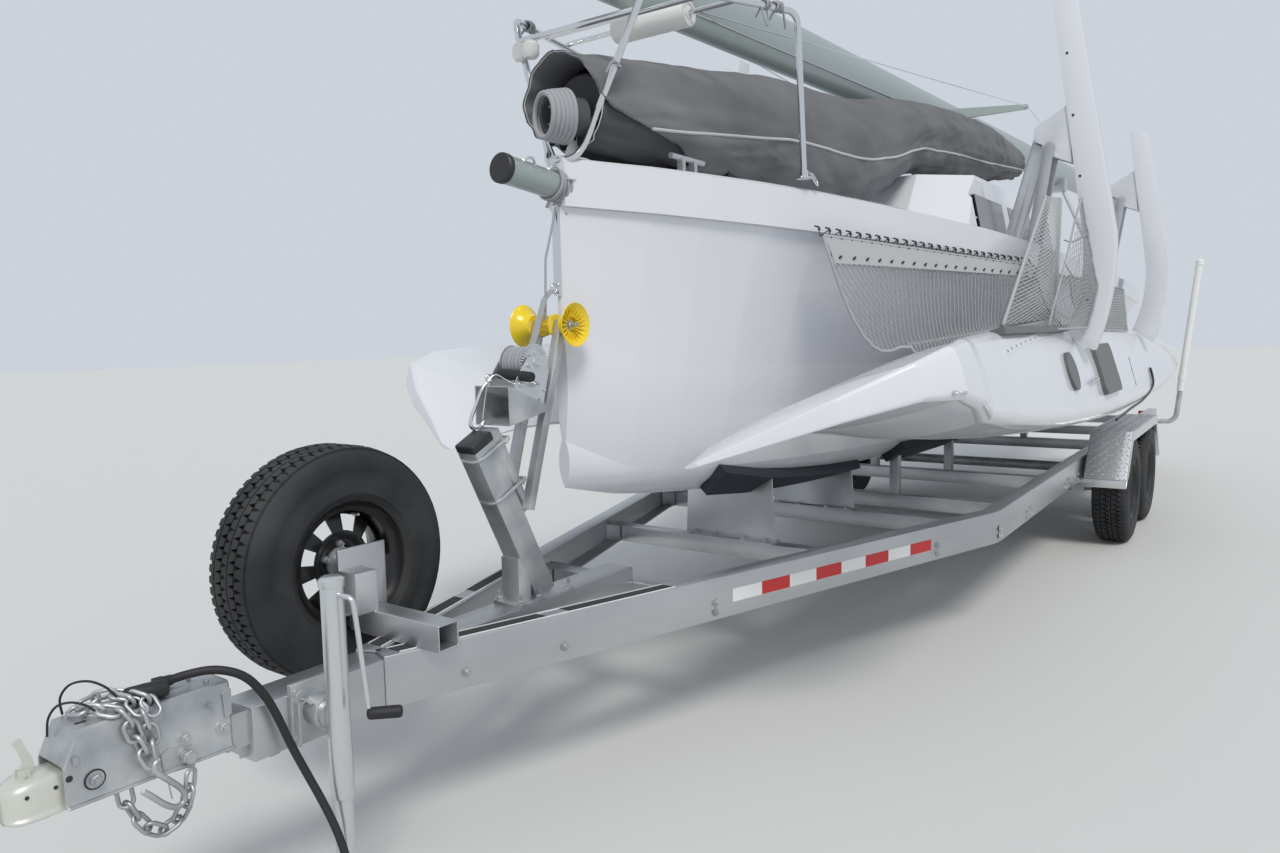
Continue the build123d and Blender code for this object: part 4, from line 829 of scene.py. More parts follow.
def rim_disc(name, centre, side, body):
    """Pressed steel rim: barrel with two flanges, a dished disc with slots, hub and nuts."""
    builder = Builder()
    barrel = [(0.1925, 0.0915), (0.1985, 0.0935), (0.2, 0.09), (0.193, 0.08),
              (0.19, 0.074), (0.164, 0.062), (0.162, -0.02), (0.19, -0.074),
              (0.1925, -0.085), (0.1985, -0.0935), (0.1925, -0.0915), (0.186, -0.076),
              (0.158, -0.022), (0.16, 0.06), (0.186, 0.078)]
    builder.lathe(centre, (0, side, 0), barrel, 64)
    slots, inner, outer = 8, 0.098, 0.146
    rows = [(0.047, 0.02), (0.07, 0.02), (0.084, 0.03), (inner, 0.034), (outer, 0.018),
            (0.161, 0.004)]
    around = 64
    grid = []
    for turn in circle(around):
        for r, a in rows:
            grid.append(Vector(centre) + Vector((r * cos(turn), side * a, r * sin(turn))))
    faces = []
    for k in range(around):
        n = (k + 1) % around
        for i in range(len(rows) - 1):
            open_slot = i == 3 and (k % (around // slots)) in (1, 2, 3, 4)
            if not open_slot:
                faces.append((k * len(rows) + i, k * len(rows) + i + 1, n * len(rows) + i + 1,
                              n * len(rows) + i))
    builder.add(grid, faces)
    disc = builder.made(name + "_rim", "tyre", body, "rim_paint", angle=35)
    thicken(disc, 0.0035, -1 if side > 0 else 1)
    metal = Builder()
    out = Vector((0, side, 0))
    middle = Vector(centre)
    metal.lathe(centre, out, [(0.0, 0.02), (0.046, 0.02), (0.046, 0.03), (0.034, 0.034),
                              (0.032, 0.068), (0.026, 0.074), (0.0, 0.075)], 32)
    for k in range(5):
        turn = 2 * pi * (k + 0.25) / 5
        spot = middle + Vector((0.057 * cos(turn), side * 0.021, 0.057 * sin(turn)))
        metal.bolt(spot, out, 0.0115, 0.016)
        metal.tube([spot + out * 0.012, spot + out * 0.026], 0.0055, 10)
    valve = middle + Vector((0.15 * cos(1.9), side * 0.03, 0.15 * sin(1.9)))
    metal.tube([valve, valve + out * 0.034], 0.0045, 8)
    metal.made(name + "_hub", "zinc", body, angle=35)


def make_wheels():
    """Tyre, rim and hub of the four road wheels and the spare."""
    for name, (place, side) in WHEELS.items():
        body = NODES[name]["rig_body"]
        centre = at(*place)
        tyre = Builder()
        tyre_ring(tyre, centre)
        piece = tyre.made(name + "_tyre", "tyre", body, angle=38)
        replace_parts(piece, name)
        rim_disc(name, centre, side, body)


make_wheels()


# ---------------------------------------------------------------- trailer frame details
# the port rail's web: its place abaft the bend, the bend, and the tip it runs in to
RAIL_Y, BEND_X, TIP_X, TIP_Y = 0.965, -2.0, 0.85, 0.062


def rail_face(x):
    """Place and outward direction of the port rail's web at x."""
    if x < BEND_X:
        return RAIL_Y, PORT
    slope = (TIP_Y - RAIL_Y) / (TIP_X - BEND_X)
    return RAIL_Y + slope * (x - BEND_X), Vector((-slope, 1, 0)).normalized()


def make_frame_details():
    """Bolts and angles of the cross members, reflective tape, and grip strips on the nose."""
    bolts = Builder()
    for x in (0.62, 0.3, -0.3, -1.545, -2.02, -2.56, -2.64, -3.56, -3.64, -3.93,
              -5.66, -5.74, -6.81):
        for side in (1, -1):
            y, out = rail_face(x)
            out = Vector((out.x, out.y * side, 0))
            for z in ((0.498,) if x > 0 else (0.48, 0.515)):
                spot = at(x, y * side, z) + out * 0.001
                bolts.nut(spot, out, 0.0155, 0.0025, 0.0105, 0.0085)
                bolts.tube([spot + out * 0.01, spot + out * 0.017], 0.0052, 10)
    for x in (-1.15, -2.05):
        for y in (-0.19, -0.08, 0.08, 0.19):
            bolts.nut(at(x + 0.03, y, 0.5393), UP, 0.014, 0.002, 0.009, 0.008)
    bolts.made("frame_bolts", "zinc", angle=35)
    gussets = Builder()
    for x in (-0.35, -1.15, -2.05, -2.6, -3.6, -5.7, -6.85):
        for side in (1, -1):
            for shift in (-0.046, 0.046):
                gussets.block(at(x + shift, side * (rail_face(x)[0] - 0.06), 0.495),
                              (0.006, 0.085, 0.075))
    gussets.made("crossbeam_angles", "mill_aluminium")
    tape = {"red_tape": Builder(), "white_tape": Builder()}
    first, last, count = -0.38, -1.5, 8
    tape_top, tape_low = 0.548, 0.5
    for k in range(count):
        builder = tape["white_tape" if k % 2 == 0 else "red_tape"]
        a = first + (last - first) * k / count
        b = first + (last - first) * (k + 1) / count
        for side in (1, -1):
            ya, out = rail_face(a)
            yb, _ = rail_face(b)
            lift = Vector((out.x, out.y * side, 0)) * 0.0008
            corners = [at(x, y * side, z) + lift
                       for x, y, z in ((a, ya, tape_top), (b, yb, tape_top), (b, yb, tape_low),
                                       (a, ya, tape_low))]
            builder.add(corners, [(0, 1, 2, 3)] if side > 0 else [(3, 2, 1, 0)])
    for name, builder in tape.items():
        builder.made(name + "_strips", "mill_aluminium", paint=name)
    strips, lines = Builder(), Builder()
    near, far, top = 0.012, 0.066, 0.6008
    for side in (1, -1):
        for a, b in ((0.8, 0.34), (0.26, -0.14)):
            strips.add([at(x, side * (rail_face(x)[0] - inset), top)
                        for x, inset in ((a, near), (b, near), (b, far), (a, far))],
                       [(0, 1, 2, 3)] if side < 0 else [(3, 2, 1, 0)])
    strips.made("step_strips", "mill_aluminium", paint="grit")
    for side in (1, -1):
        for inset in (near, far):
            lines.tube([at(x, side * (rail_face(x)[0] - inset), 0.6012)
                        for x in (0.8, 0.3, -0.14)], 0.0022, 4)
    lines.made("step_lines", "mill_aluminium", paint="white_tape")


make_frame_details()


BAR = (0.02, 0.0042, 0.0022)  # size of one raised bar of the tread plate


def make_fender_details():
    """Raised bars of the tread plate and the rolled outer edge of each fender."""
    top, x0, x1 = 0.7702, -3.98, -5.78
    bars = Builder()

    def bar(i, j):
        """Place across the fender and turn of a bar of the pattern."""
        turn = Matrix.Rotation(radians(45 if (i + j) % 2 else -45), 3, "Z")
        return 1.01 + j * 0.0305 + (0.008 if i % 2 else 0), turn

    for side in (1, -1):
        for i in range(46):
            for j in range(8):
                y, turn = bar(i, j)
                bars.block(at(x0 - 0.262 - i * 0.0286, side * y, top), BAR, turn)
        for end, way in ((x0, 1), (x1, -1)):
            face = Vector((way * 0.33, 0, 0.24)).normalized()
            slope = Vector((-way * 0.24, 0, 0.33)).normalized()
            tilt = Matrix((slope, PORT, face)).transposed()
            for i in range(13):
                spot = at(end, 0, 0.44) + slope * (0.022 + i * 0.0295) + face * 0.0002
                for j in range(8):
                    y, turn = bar(i, j)
                    bars.block((spot.x, side * y, spot.z), BAR, tilt @ turn)
    bars.made("tread_bars", "tread_plate", angle=30)
    skirts = Builder()
    for side in (1, -1):
        y = side * 1.2465
        outline = [(x0, 0.44), (x0 - 0.24, 0.77), (x1 + 0.24, 0.77), (x1, 0.44),
                   (x1 + 0.1, 0.5), (x1 + 0.275, 0.706), (x0 - 0.275, 0.706), (x0 - 0.1, 0.5)]
        corners = [at(x, y, z) for x, z in outline] + [at(x, y - side * 0.003, z)
                                                       for x, z in outline]
        faces = [(0, 1, 6, 7), (1, 2, 5, 6), (2, 3, 4, 5)]
        faces += [tuple(i + 8 for i in reversed(f)) for f in faces]
        faces += [(i, (i + 1) % 8, (i + 1) % 8 + 8, i + 8) for i in range(8)]
        skirts.add(corners, faces if side > 0 else [tuple(reversed(f)) for f in faces])
    skirts.made("fender_skirts", "tread_plate", angle=30)


make_fender_details()


# ---------------------------------------------------------------- coupler and surge actuator
def prism(builder, outline, y0, y1):
    """A flat outline of (x, z) points from the stem, between two planes of Y."""
    count = len(outline)
    corners = [at(x, y, z) for y in (y0, y1) for x, z in outline]
    faces = [tuple(reversed(range(count))), tuple(range(count, 2 * count))]
    faces += [(i, (i + 1) % count, (i + 1) % count + count, i + count) for i in range(count)]
    builder.add(corners, faces)


def handle(builder, start, end, profile, sides):
    """A turned grip from start to end; profile has shares of the length and radii."""
    builder.tube([start.lerp(end, t) for t, _ in profile], [r for _, r in profile], sides)


def shade_disc(builder, place, axis, radius):
    """A thin dark disc, painted shade that reads as a hole."""
    builder.tube([place, place + Vector(axis) * 0.0006], radius, 20)


def chain(builder, places):
    """Links along places from the stem, each turned a quarter from the one before."""
    pitch, wire, half_width = 0.036, 0.0048, 0.0145
    points = all_at(places)
    lengths = [0.0]
    for a, b in zip(points, points[1:]):
        lengths.append(lengths[-1] + (b - a).length)
    count = max(int(lengths[-1] / pitch), 1)

    def along(s):
        for i in range(len(points) - 1):
            if s <= lengths[i + 1] or i == len(points) - 2:
                t = (s - lengths[i]) / (lengths[i + 1] - lengths[i])
                return points[i].lerp(points[i + 1], t)
    for k in range(count):
        a, b = along(k * pitch), along((k + 1) * pitch)
        direction = (b - a).normalized()
        side = direction.cross(Vector((0.3, 0.2, 1.0))).normalized()
        if k % 2:
            side = direction.cross(side).normalized()
        middle, straight = (a + b) / 2, pitch * 0.6 - half_width * 0.4
        ring = []
        for turn in circle(24):
            push = straight if cos(turn) > 0 else -straight
            ring.append(middle + direction * (cos(turn) * half_width + push * 0.62)
                        + side * sin(turn) * half_width)
        builder.tube(ring, wire, 8, closed=True)


HOUSING_HALF = 0.06


def housing_top(x):
    """Height of the housing, whose front slopes down from x 1.620."""
    return 0.681 if x < 1.62 else 0.681 - (x - 1.62) * 2.25


def make_housing():
    """Folded sheet cover of the surge actuator, its front sloped and its lower lips turned out."""
    stations = [1.292, 1.296, 1.38, 1.46, 1.54, 1.612, 1.62, 1.626, 1.64, 1.648, 1.65]
    rows = []
    for x in stations:
        low = 0.523 + (x - 1.292) * 0.022
        top = housing_top(x)
        half = HOUSING_HALF
        port = [(half + 0.015, low), (half + 0.003, low + 0.001), (half, low + 0.008),
                (half, top - 0.012), (half - 0.002, top - 0.004), (half - 0.008, top)]
        ring = port + [(-y, z) for y, z in reversed(port)]
        rows.append([at(x, y, z) for y, z in ring])
    faces = sheet_faces(len(rows), len(rows[0]))
    shell = mesh_object("actuator_housing", [v for row in rows for v in row], faces, "zinc",
                        angle=30)
    thicken(shell, 0.003)
    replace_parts(shell, "surge_actuator")
    trim = Builder()
    for y, out in ((HOUSING_HALF, PORT), (-HOUSING_HALF, -PORT)):
        for x, z, radius in ((1.593, 0.568, 0.0125), (1.314, 0.576, 0.012), (1.405, 0.585, 0.01),
                             (1.345, 0.64, 0.006)):
            spot = at(x, y, z)
            trim.nut(spot, out, radius * 1.45, 0.003, radius, 0.01)
            trim.tube([spot + out * 0.01, spot + out * 0.017], radius * 0.5, 12)
        spot = at(1.405, y, 0.545)
        trim.tube([spot - out * 0.004, spot + out * 0.03], 0.0125, 16)
        trim.washer(spot + out * 0.004, out, 0.0185, 0.004)
        trim.bolt(spot + out * 0.016, out, 0.0165, 0.01)
        prism(trim, [(1.385, 0.512), (1.455, 0.52), (1.458, 0.566), (1.44, 0.574), (1.388, 0.562)],
              *sorted((y, y + out.y * 0.004)))
        prism(trim, [(1.292, 0.602), (1.308, 0.596), (1.312, 0.655), (1.298, 0.668), (1.29, 0.66)],
              *sorted((y + out.y * 0.0005, y + out.y * 0.0045)))
        trim.block(at(1.6275, y + out.y * 0.003, 0.622), (0.01, 0.006, 0.017))
    trim.block(at(1.3925, 0, 0.6845), (0.06, 0.05, 0.007))
    trim.bolt(at(1.345, -0.02, 0.681), UP, 0.006, 0.006)
    trim.bolt(at(1.33, 0.03, 0.681), UP, 0.006, 0.006)
    trim.made("actuator_bolts", "zinc", angle=35)
    inner = Builder()
    prism(inner, [(1.205, 0.502), (1.3, 0.502), (1.3, 0.588), (1.205, 0.588)], -0.046, 0.046)
    prism(inner, [(1.24, 0.47), (1.262, 0.47), (1.264, 0.503), (1.236, 0.503)], 0.03, 0.036)
    prism(inner, [(1.172, 0.455), (1.2, 0.455), (1.2, 0.5), (1.168, 0.5)], 0.052, 0.058)
    inner.made("actuator_inner_tube", "mill_aluminium", angle=35)
    # Painted shade: dark discs stand for the holes in the housing's sides and a dark patch for the
    # slot on its top; the same piece also holds a dark ring under each big bolt and a dark loop round
    # the inner tube.
    dark = Builder()
    for y, out in ((HOUSING_HALF, PORT), (-HOUSING_HALF, -PORT)):
        shade_disc(dark, at(1.64, y, 0.588) + out * 0.0002, out, 0.0068)
        dark.washer(at(1.593, y, 0.568) + out * 0.0002, out, 0.0215, 0.0022)
    # Painted shade: a flat dark patch stands for the slot.
    slot = [(1.606, 0.014), (1.606, 0.024), (1.584, 0.024), (1.584, 0.014)]
    dark.add([at(x, y, 0.6815) for x, y in slot], [(0, 1, 2, 3)])
    # Painted shade: two more dark discs stand for holes.
    for x, y in ((1.66, 0.0462), (1.712, 0.0462)):
        shade_disc(dark, at(x, y, 0.575), (0, 1, 0), 0.0042)
    rim = [at(1.2335, y, z) for y, z in ((-0.0475, 0.5), (0.0475, 0.5), (0.0475, 0.59),
                                         (-0.0475, 0.59))]
    dark.tube(rim, 0.0022, 6, closed=True)
    dark.made("actuator_trim_and_hole_shade", "rubber", paint="grit", angle=35)
    grip = Builder()
    start, end = at(1.505, 0.014, 0.702), at(1.42, 0.042, 0.704)
    steps = ((0.0, 0.011), (0.03, 0.017), (0.12, 0.0195), (0.5, 0.0205), (0.88, 0.0195),
             (0.97, 0.017), (1.0, 0.01))
    handle(grip, start, end, steps, 20)
    grip.made("safety_grip", "rubber")
    gland = Builder()
    first, second = at(*LEAD[0]), at(*LEAD[1])
    way = (second - first).normalized()
    gland.tube([first - way * 0.04, first - way * 0.02, first - way * 0.018, first],
               [0.017, 0.0155, 0.0135, 0.0115], 20)
    gland.made("lead_gland", "rubber")


make_housing()


def make_coupler():
    """Pressed ball coupler channel with its rounded nose, turned lips and latch lever."""
    stations = [(1.6, 0.045, 0.6), (1.645, 0.045, 0.6), (1.69, 0.046, 0.6),
                (1.708, 0.045, 0.599), (1.724, 0.041, 0.595), (1.736, 0.033, 0.588),
                (1.744, 0.022, 0.578), (1.749, 0.008, 0.566)]
    rows = []
    for x, half, top in stations:
        low = 0.53
        port = [(half + 0.009, low - 0.004), (half + 0.002, low), (half, low + 0.008),
                (half, top - 0.014), (half - 0.004, top - 0.005), (half * 0.78, top),
                (half * 0.4, top + 0.001)]
        ring = port + [(-y, z) for y, z in reversed(port)]
        rows.append([at(x, y, z) for y, z in ring])
    faces = sheet_faces(len(rows), len(rows[0]))
    coupler = mesh_object("coupler_channel", [v for row in rows for v in row], faces, "zinc",
                          paint="passivated", angle=50)
    thicken(coupler, 0.003)
    cup = Builder()
    cup.lathe(at(1.68, 0, 0.518), UP, [(0.0256, 0.0), (0.031, 0.0), (0.035, 0.005),
                                              (0.037, 0.05), (0.02, 0.05), (0.0256, 0.03)], 40)
    lever = [(1.69, 0.584), (1.708, 0.584), (1.709, 0.612), (1.699, 0.634), (1.706, 0.66),
             (1.716, 0.676), (1.706, 0.683), (1.698, 0.68), (1.69, 0.655), (1.683, 0.64),
             (1.679, 0.62), (1.686, 0.604)]
    prism(cup, lever, -0.0035, 0.0035)
    prism(cup, [(1.688, 0.596), (1.712, 0.596), (1.711, 0.618), (1.69, 0.618)], -0.01, -0.0045)
    prism(cup, [(1.688, 0.596), (1.712, 0.596), (1.711, 0.618), (1.69, 0.618)], 0.0045, 0.01)
    cup.run([(1.7, -0.014, 0.608), (1.7, 0.014, 0.608)], 0.0035, 10)
    cup.made("coupler_latch_and_cup", "zinc", paint="passivated", angle=35)
    iron = Builder()
    top = [(1.588, -0.034, 0.692), (1.58, -0.006, 0.696), (1.57, 0.018, 0.697),
           (1.546, 0.04, 0.697), (1.528, 0.062, 0.684), (1.519, 0.073, 0.655),
           (1.509, 0.073, 0.618), (1.494, 0.078, 0.578), (1.486, 0.086, 0.56)]
    chain(iron, top)
    second = [(1.535, -0.02, 0.697), (1.512, 0.004, 0.7), (1.502, 0.034, 0.7),
              (1.494, 0.06, 0.69), (1.488, 0.074, 0.66), (1.48, 0.074, 0.62),
              (1.474, 0.078, 0.585), (1.478, 0.085, 0.566)]
    chain(iron, second)
    third = [(1.572, -0.04, 0.694), (1.548, -0.022, 0.708), (1.524, 0.0, 0.714),
             (1.5, 0.016, 0.708), (1.478, 0.04, 0.7), (1.47, 0.068, 0.69),
             (1.468, 0.074, 0.662)]
    chain(iron, third)
    loop = [(1.527, 0.03, 0.512), (1.528, 0.044, 0.48), (1.515, 0.055, 0.445),
            (1.494, 0.062, 0.412), (1.467, 0.068, 0.396), (1.44, 0.076, 0.41),
            (1.42, 0.084, 0.448), (1.41, 0.088, 0.492), (1.406, 0.086, 0.54)]
    chain(iron, loop)
    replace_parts(iron.made("draped_chains", "zinc", angle=60), "safety_chains")
    hook = Builder()
    bend = [(1.476, 0.09, 0.572), (1.487, 0.092, 0.562), (1.484, 0.094, 0.545),
            (1.462, 0.096, 0.52), (1.44, 0.098, 0.494), (1.431, 0.099, 0.474),
            (1.436, 0.1, 0.458), (1.453, 0.1, 0.455), (1.474, 0.099, 0.47),
            (1.497, 0.097, 0.496), (1.517, 0.096, 0.518)]
    hook.run(bend, 0.0066, 12, 4)
    latch = [(1.464, 0.097, 0.521), (1.462, 0.098, 0.5), (1.458, 0.098, 0.476)]
    hook.run(latch, 0.0014, 6)
    hook.made("chain_hook", "zinc", angle=60)
    cable = Builder()
    for run in ([(1.64, -0.03, 0.655), (1.634, -0.034, 0.69), (1.622, -0.02, 0.716),
                 (1.604, 0.004, 0.724), (1.584, 0.02, 0.715), (1.57, 0.03, 0.7)],
                [(1.6, -0.052, 0.684), (1.604, -0.046, 0.722), (1.592, -0.024, 0.752),
                 (1.568, 0.004, 0.758), (1.544, 0.024, 0.742), (1.526, 0.034, 0.716)]):
        cable.run(run, 0.0026, 8, 6)
    cable.made("breakaway_cable", "rubber")


make_coupler()


# ---------------------------------------------------------------- jack and its bracket
JACK = (1.075, 0.165)


def make_jack():
    """Swivel jack: polished tube, crown cap with crank, foot and swivel plates."""
    x, y = JACK
    body = Builder()
    body.tube([at(x, y, z) for z in (0.33, 0.334, 0.338, 0.868, 0.872)],
              [0.0275, 0.0285, 0.0285, 0.0285, 0.0278], 40)
    body.tube([at(x, y, z) for z in (0.33, 0.026)], 0.0235, 32)
    body.tube([at(x, y, z) for z in (0.0, 0.004, 0.022, 0.026)], [0.076, 0.078, 0.078, 0.07], 40)
    body.tube([at(x, y, z) for z in (0.026, 0.05)], [0.04, 0.026], 32)
    body.tube([at(x, y, z) for z in (0.868, 0.872, 0.886, 0.892)], [0.031, 0.0316, 0.0316, 0.024],
              40)
    body.run([(x, y - 0.0402, 0.54), (x, y - 0.0225, 0.54)], 0.036, 32)
    arm = smooth_path([(x, y, 0.85), (x, y + 0.046, 0.85), (x - 0.002, y + 0.068, 0.846),
                       (x - 0.006, y + 0.076, 0.82), (x - 0.014, y + 0.088, 0.66),
                       (x - 0.019, y + 0.095, 0.575)], 5)
    body.run(arm, 0.0068, 10)
    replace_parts(body.made("jack_body_tube", "zinc", "jack_body", "bright_zinc", angle=40), "jack")
    grip = Builder()
    start, end = at(x - 0.016, y + 0.09, 0.56), at(x - 0.075, y + 0.15, 0.56)
    handle(grip, start, end, ((0.0, 0.0085), (0.04, 0.0135), (0.1, 0.015), (0.88, 0.0158),
                              (0.96, 0.0145), (1.0, 0.0095)), 20)
    grip.made("jack_grip", "rubber", "jack_body")
    plates = Builder()
    for shift in (-0.06, 0.06):
        for z in (0.482, 0.598):
            plates.bolt(at(x + shift, 0.0735, z), (0, 1, 0), 0.009, 0.008)
    ring = [at(x + 0.052 + 0.016 * cos(t), 0.092, 0.588 + 0.016 * sin(t))
            for t in circle(20)]
    plates.tube(ring, 0.0017, 6, closed=True)
    plates.run([(x + 0.04, 0.06, 0.575), (x + 0.04, 0.112, 0.575)], 0.0048, 12)
    for shift in (0.062, -0.062):
        plates.block(at(x + shift, 0.08, 0.52), (0.006, 0.03, 0.11))
    plates.made("jack_swivel_trim", "zinc", angle=35)


make_jack()


# ---------------------------------------------------------------- winch stand
# x and z of the axles of the roller and the reel, and x of the mast box's aft edge
ROLLER = (0.052, 1.5)
REEL = (0.188, 1.378)
BOX_AFT = 0.15


def box_top(x):
    """Height of the stand's sloped top."""
    return 1.235 + (x - BOX_AFT) * 0.41


def make_roller():
    """V roller and two flared bells of clear yellow plastic, ribbed inside."""
    x, z = ROLLER
    outline = [(0.008, -0.03), (0.036, -0.03), (0.039, -0.028), (0.036, -0.02), (0.0285, -0.006),
               (0.0275, 0.0), (0.0285, 0.006), (0.036, 0.02), (0.039, 0.028), (0.036, 0.03),
               (0.008, 0.03)]
    roller = Builder()
    roller.lathe(at(x, 0, z), (0, 1, 0), outline, 48)
    bell = [(0.008, 0.066), (0.035, 0.066), (0.04, 0.079), (0.052, 0.097), (0.066, 0.109),
            (0.0725, 0.1135), (0.0735, 0.115), (0.0722, 0.1164), (0.0655, 0.112), (0.05, 0.1),
            (0.034, 0.086), (0.024, 0.084), (0.008, 0.084)]
    for side in (1, -1):
        roller.lathe(at(x, 0, z), (0, side, 0), bell, 56)
        for turn in circle(20):
            out = radial(turn)
            flat = Vector((-sin(turn), 0, cos(turn))) * 0.0016
            hub = at(x, 0, z)
            rib = []
            for r, y in ((0.026, 0.084), (0.035, 0.0865), (0.051, 0.1005), (0.063, 0.11),
                         (0.05, 0.106), (0.026, 0.1)):
                rib.append(hub + out * r + Vector((0, side * y, 0)))
            corners = [p + flat for p in rib] + [p - flat for p in rib]
            faces = [(0, 1, 2, 3, 4, 5), (11, 10, 9, 8, 7, 6)]
            faces += [(i, i + 6, (i + 1) % 6 + 6, (i + 1) % 6) for i in range(6)]
            roller.add(corners, faces)
    for turn in circle(12):
        out = radial(turn)
        roller.tube([at(x, y, z) + out * r for y, r in ((-0.027, 0.0385), (-0.012, 0.0325),
                                                       (0, 0.029), (0.012, 0.0325),
                                                       (0.027, 0.0385))], 0.0016, 5)
    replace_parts(roller.made("bow_roller_bells", "yellow_roller", angle=30), "bow_roller")
    ends = Builder()
    for side in (1, -1):
        ends.nut(at(x, side * 0.0845, z), (0, side, 0), 0.016, 0.003, 0.0125, 0.011)
    ends.made("roller_nuts", "zinc", angle=35)


def make_winch_details():
    """Reel with wound strap, toothed gear, side plates, pawl, crank with grip, hook and strap."""
    x, z = REEL
    hub = at(x, 0, z)
    metal = Builder()
    metal.lathe(hub, (0, 1, 0), [(0.0, -0.053), (0.056, -0.053), (0.058, -0.0515), (0.058, -0.0495),
                                 (0.03, -0.048), (0.03, 0.047), (0.05, 0.047), (0.05, 0.052),
                                 (0.0, 0.052)], 48)
    for turn in circle(40):
        out = radial(turn)
        flat = Vector((-sin(turn), 0, cos(turn)))
        corners = []
        for r, w in ((0.046, 0.004), (0.0565, 0.0034), (0.0625, 0.0018)):
            for s in (-1, 1):
                for y in (0.044, 0.053):
                    corners.append(hub + out * r + flat * (w * s) + PORT * y)
        faces = []
        for i in (0, 4):
            faces += [(i, i + 4, i + 5, i + 1), (i + 2, i + 3, i + 7, i + 6),
                      (i, i + 2, i + 6, i + 4), (i + 1, i + 5, i + 7, i + 3)]
        faces.append((8, 10, 11, 9))
        metal.add(corners, faces)
    for k in range(6):
        turn = 2 * pi * (k + 0.5) / 6
        spot = hub + radial(turn) * 0.036 + PORT * 0.0522
        metal.tube([spot, spot + PORT * 0.0012], 0.006, 12)
    outline = [(0.164, box_top(0.164) + 0.001), (0.294, box_top(0.294) + 0.001), (0.286, 1.33),
               (0.262, 1.362), (0.232, 1.396), (0.216, 1.403), (0.16, 1.404), (0.146, 1.396),
               (0.132, 1.35)]
    for y in (-0.061, 0.057):
        prism(metal, outline, y, y + 0.004)
    for y, out in ((0.0612, PORT), (-0.0612, -PORT)):
        for bx, bz, radius in ((x, z, 0.013), (0.214, 1.312, 0.011), (0.268, 1.312, 0.007),
                               (0.16, 1.29, 0.006), (0.182, 1.262, 0.006), (0.228, 1.372, 0.006)):
            metal.nut(at(bx, y, bz), out, radius * 1.35, 0.002, radius, 0.006)
    prism(metal, [(0.16, box_top(0.16) + 0.0007), (0.306, box_top(0.306) + 0.0007),
                  (0.306, box_top(0.306) + 0.0055), (0.16, box_top(0.16) + 0.0055)],
          -0.0625, 0.0625)
    arm = [(0.214, 0.07, 1.312), (0.216, 0.088, 1.313), (0.24, 0.096, 1.325),
           (0.264, 0.098, 1.338)]
    metal.run(arm, 0.0055, 10, 4)
    metal.run([(0.214, 0.06, 1.312), (0.214, 0.078, 1.312)], 0.0105, 16)
    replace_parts(metal.made("winch_frame_and_gear", "zinc", paint="bright_zinc", angle=30), "winch")
    grip = Builder()
    start, end = at(0.264, -0.036, 1.347), at(0.262, 0.106, 1.336)
    rows = ((0.0, 0.01), (0.015, 0.0155), (0.05, 0.0168), (0.95, 0.0168), (0.985, 0.0155),
            (1.0, 0.008))
    handle(grip, start, end, rows, 24)
    grip.made("winch_grip", "rubber")
    brass = Builder()
    prism(brass, [(0.222, 1.318), (0.262, 1.352), (0.272, 1.342), (0.236, 1.306)], 0.022, 0.05)
    brass.run([(0.238, 0.018, 1.322), (0.238, 0.056, 1.322)], 0.008, 14)
    brass.made("winch_pawl", "zinc", paint="brassy", angle=35)
    wound, r = Builder(), 0.0488
    for run in range(9):
        y = -0.042 + run * 0.0102 + 0.0016 * sin(run * 2.1 + 4)
        wound.tube([hub + Vector((r * cos(t), 0, r * sin(t))) + PORT * y
                    for t in circle(28)], 0.0052, 7, closed=True)
    wound.tube([hub - PORT * 0.047, hub + PORT * 0.047], 0.046, 32)
    wound.made("winch_line", "cord_cloth", angle=50)
    strap = Builder()
    line = [(0.15, 1.42), (0.12, 1.47), (0.098, 1.53), (0.074, 1.585), (0.034, 1.618)]
    flat = 0.0125
    corners = []
    for px, pz in line:
        for y in (-flat, flat):
            for lift in (0.0, 0.0022):
                corners.append(at(px + lift, y, pz + lift))
    faces = []
    for i in range(len(line) - 1):
        a, b = 4 * i, 4 * i + 4
        faces += [(a, a + 2, b + 2, b), (a + 1, b + 1, b + 3, a + 3), (a, b, b + 1, a + 1),
                  (a + 2, a + 3, b + 3, b + 2)]
    faces += [(0, 1, 3, 2), (len(corners) - 4, len(corners) - 2, len(corners) - 1,
                             len(corners) - 3)]
    strap.add(corners, faces)
    strap.made("winch_strap", "cord_cloth", angle=50)
    hook = Builder()
    snap = [(0.322, -0.022, 1.33), (0.348, -0.03, 1.302), (0.376, -0.034, 1.25),
            (0.396, -0.036, 1.212), (0.398, -0.036, 1.188), (0.38, -0.034, 1.176),
            (0.358, -0.032, 1.184), (0.346, -0.031, 1.2)]
    hook.run(snap, 0.0062, 12, 4)
    hook.run([(0.33, -0.024, 1.32), (0.342, -0.028, 1.26), (0.35, -0.031, 1.206)], 0.0028, 8)
    hook.run([(0.322, -0.022, 1.332), (0.302, -0.014, 1.345), (0.276, 0.0, 1.33),
              (0.246, 0.034, 1.306), (0.214, 0.052, 1.285)], 0.0032, 8, 4)
    eye = [at(0.326 + 0.012 * cos(t), -0.022, 1.334 + 0.012 * sin(t)) for t in circle(16)]
    hook.tube(eye, 0.0035, 8, closed=True)
    hook.made("winch_hook", "stainless", angle=50)


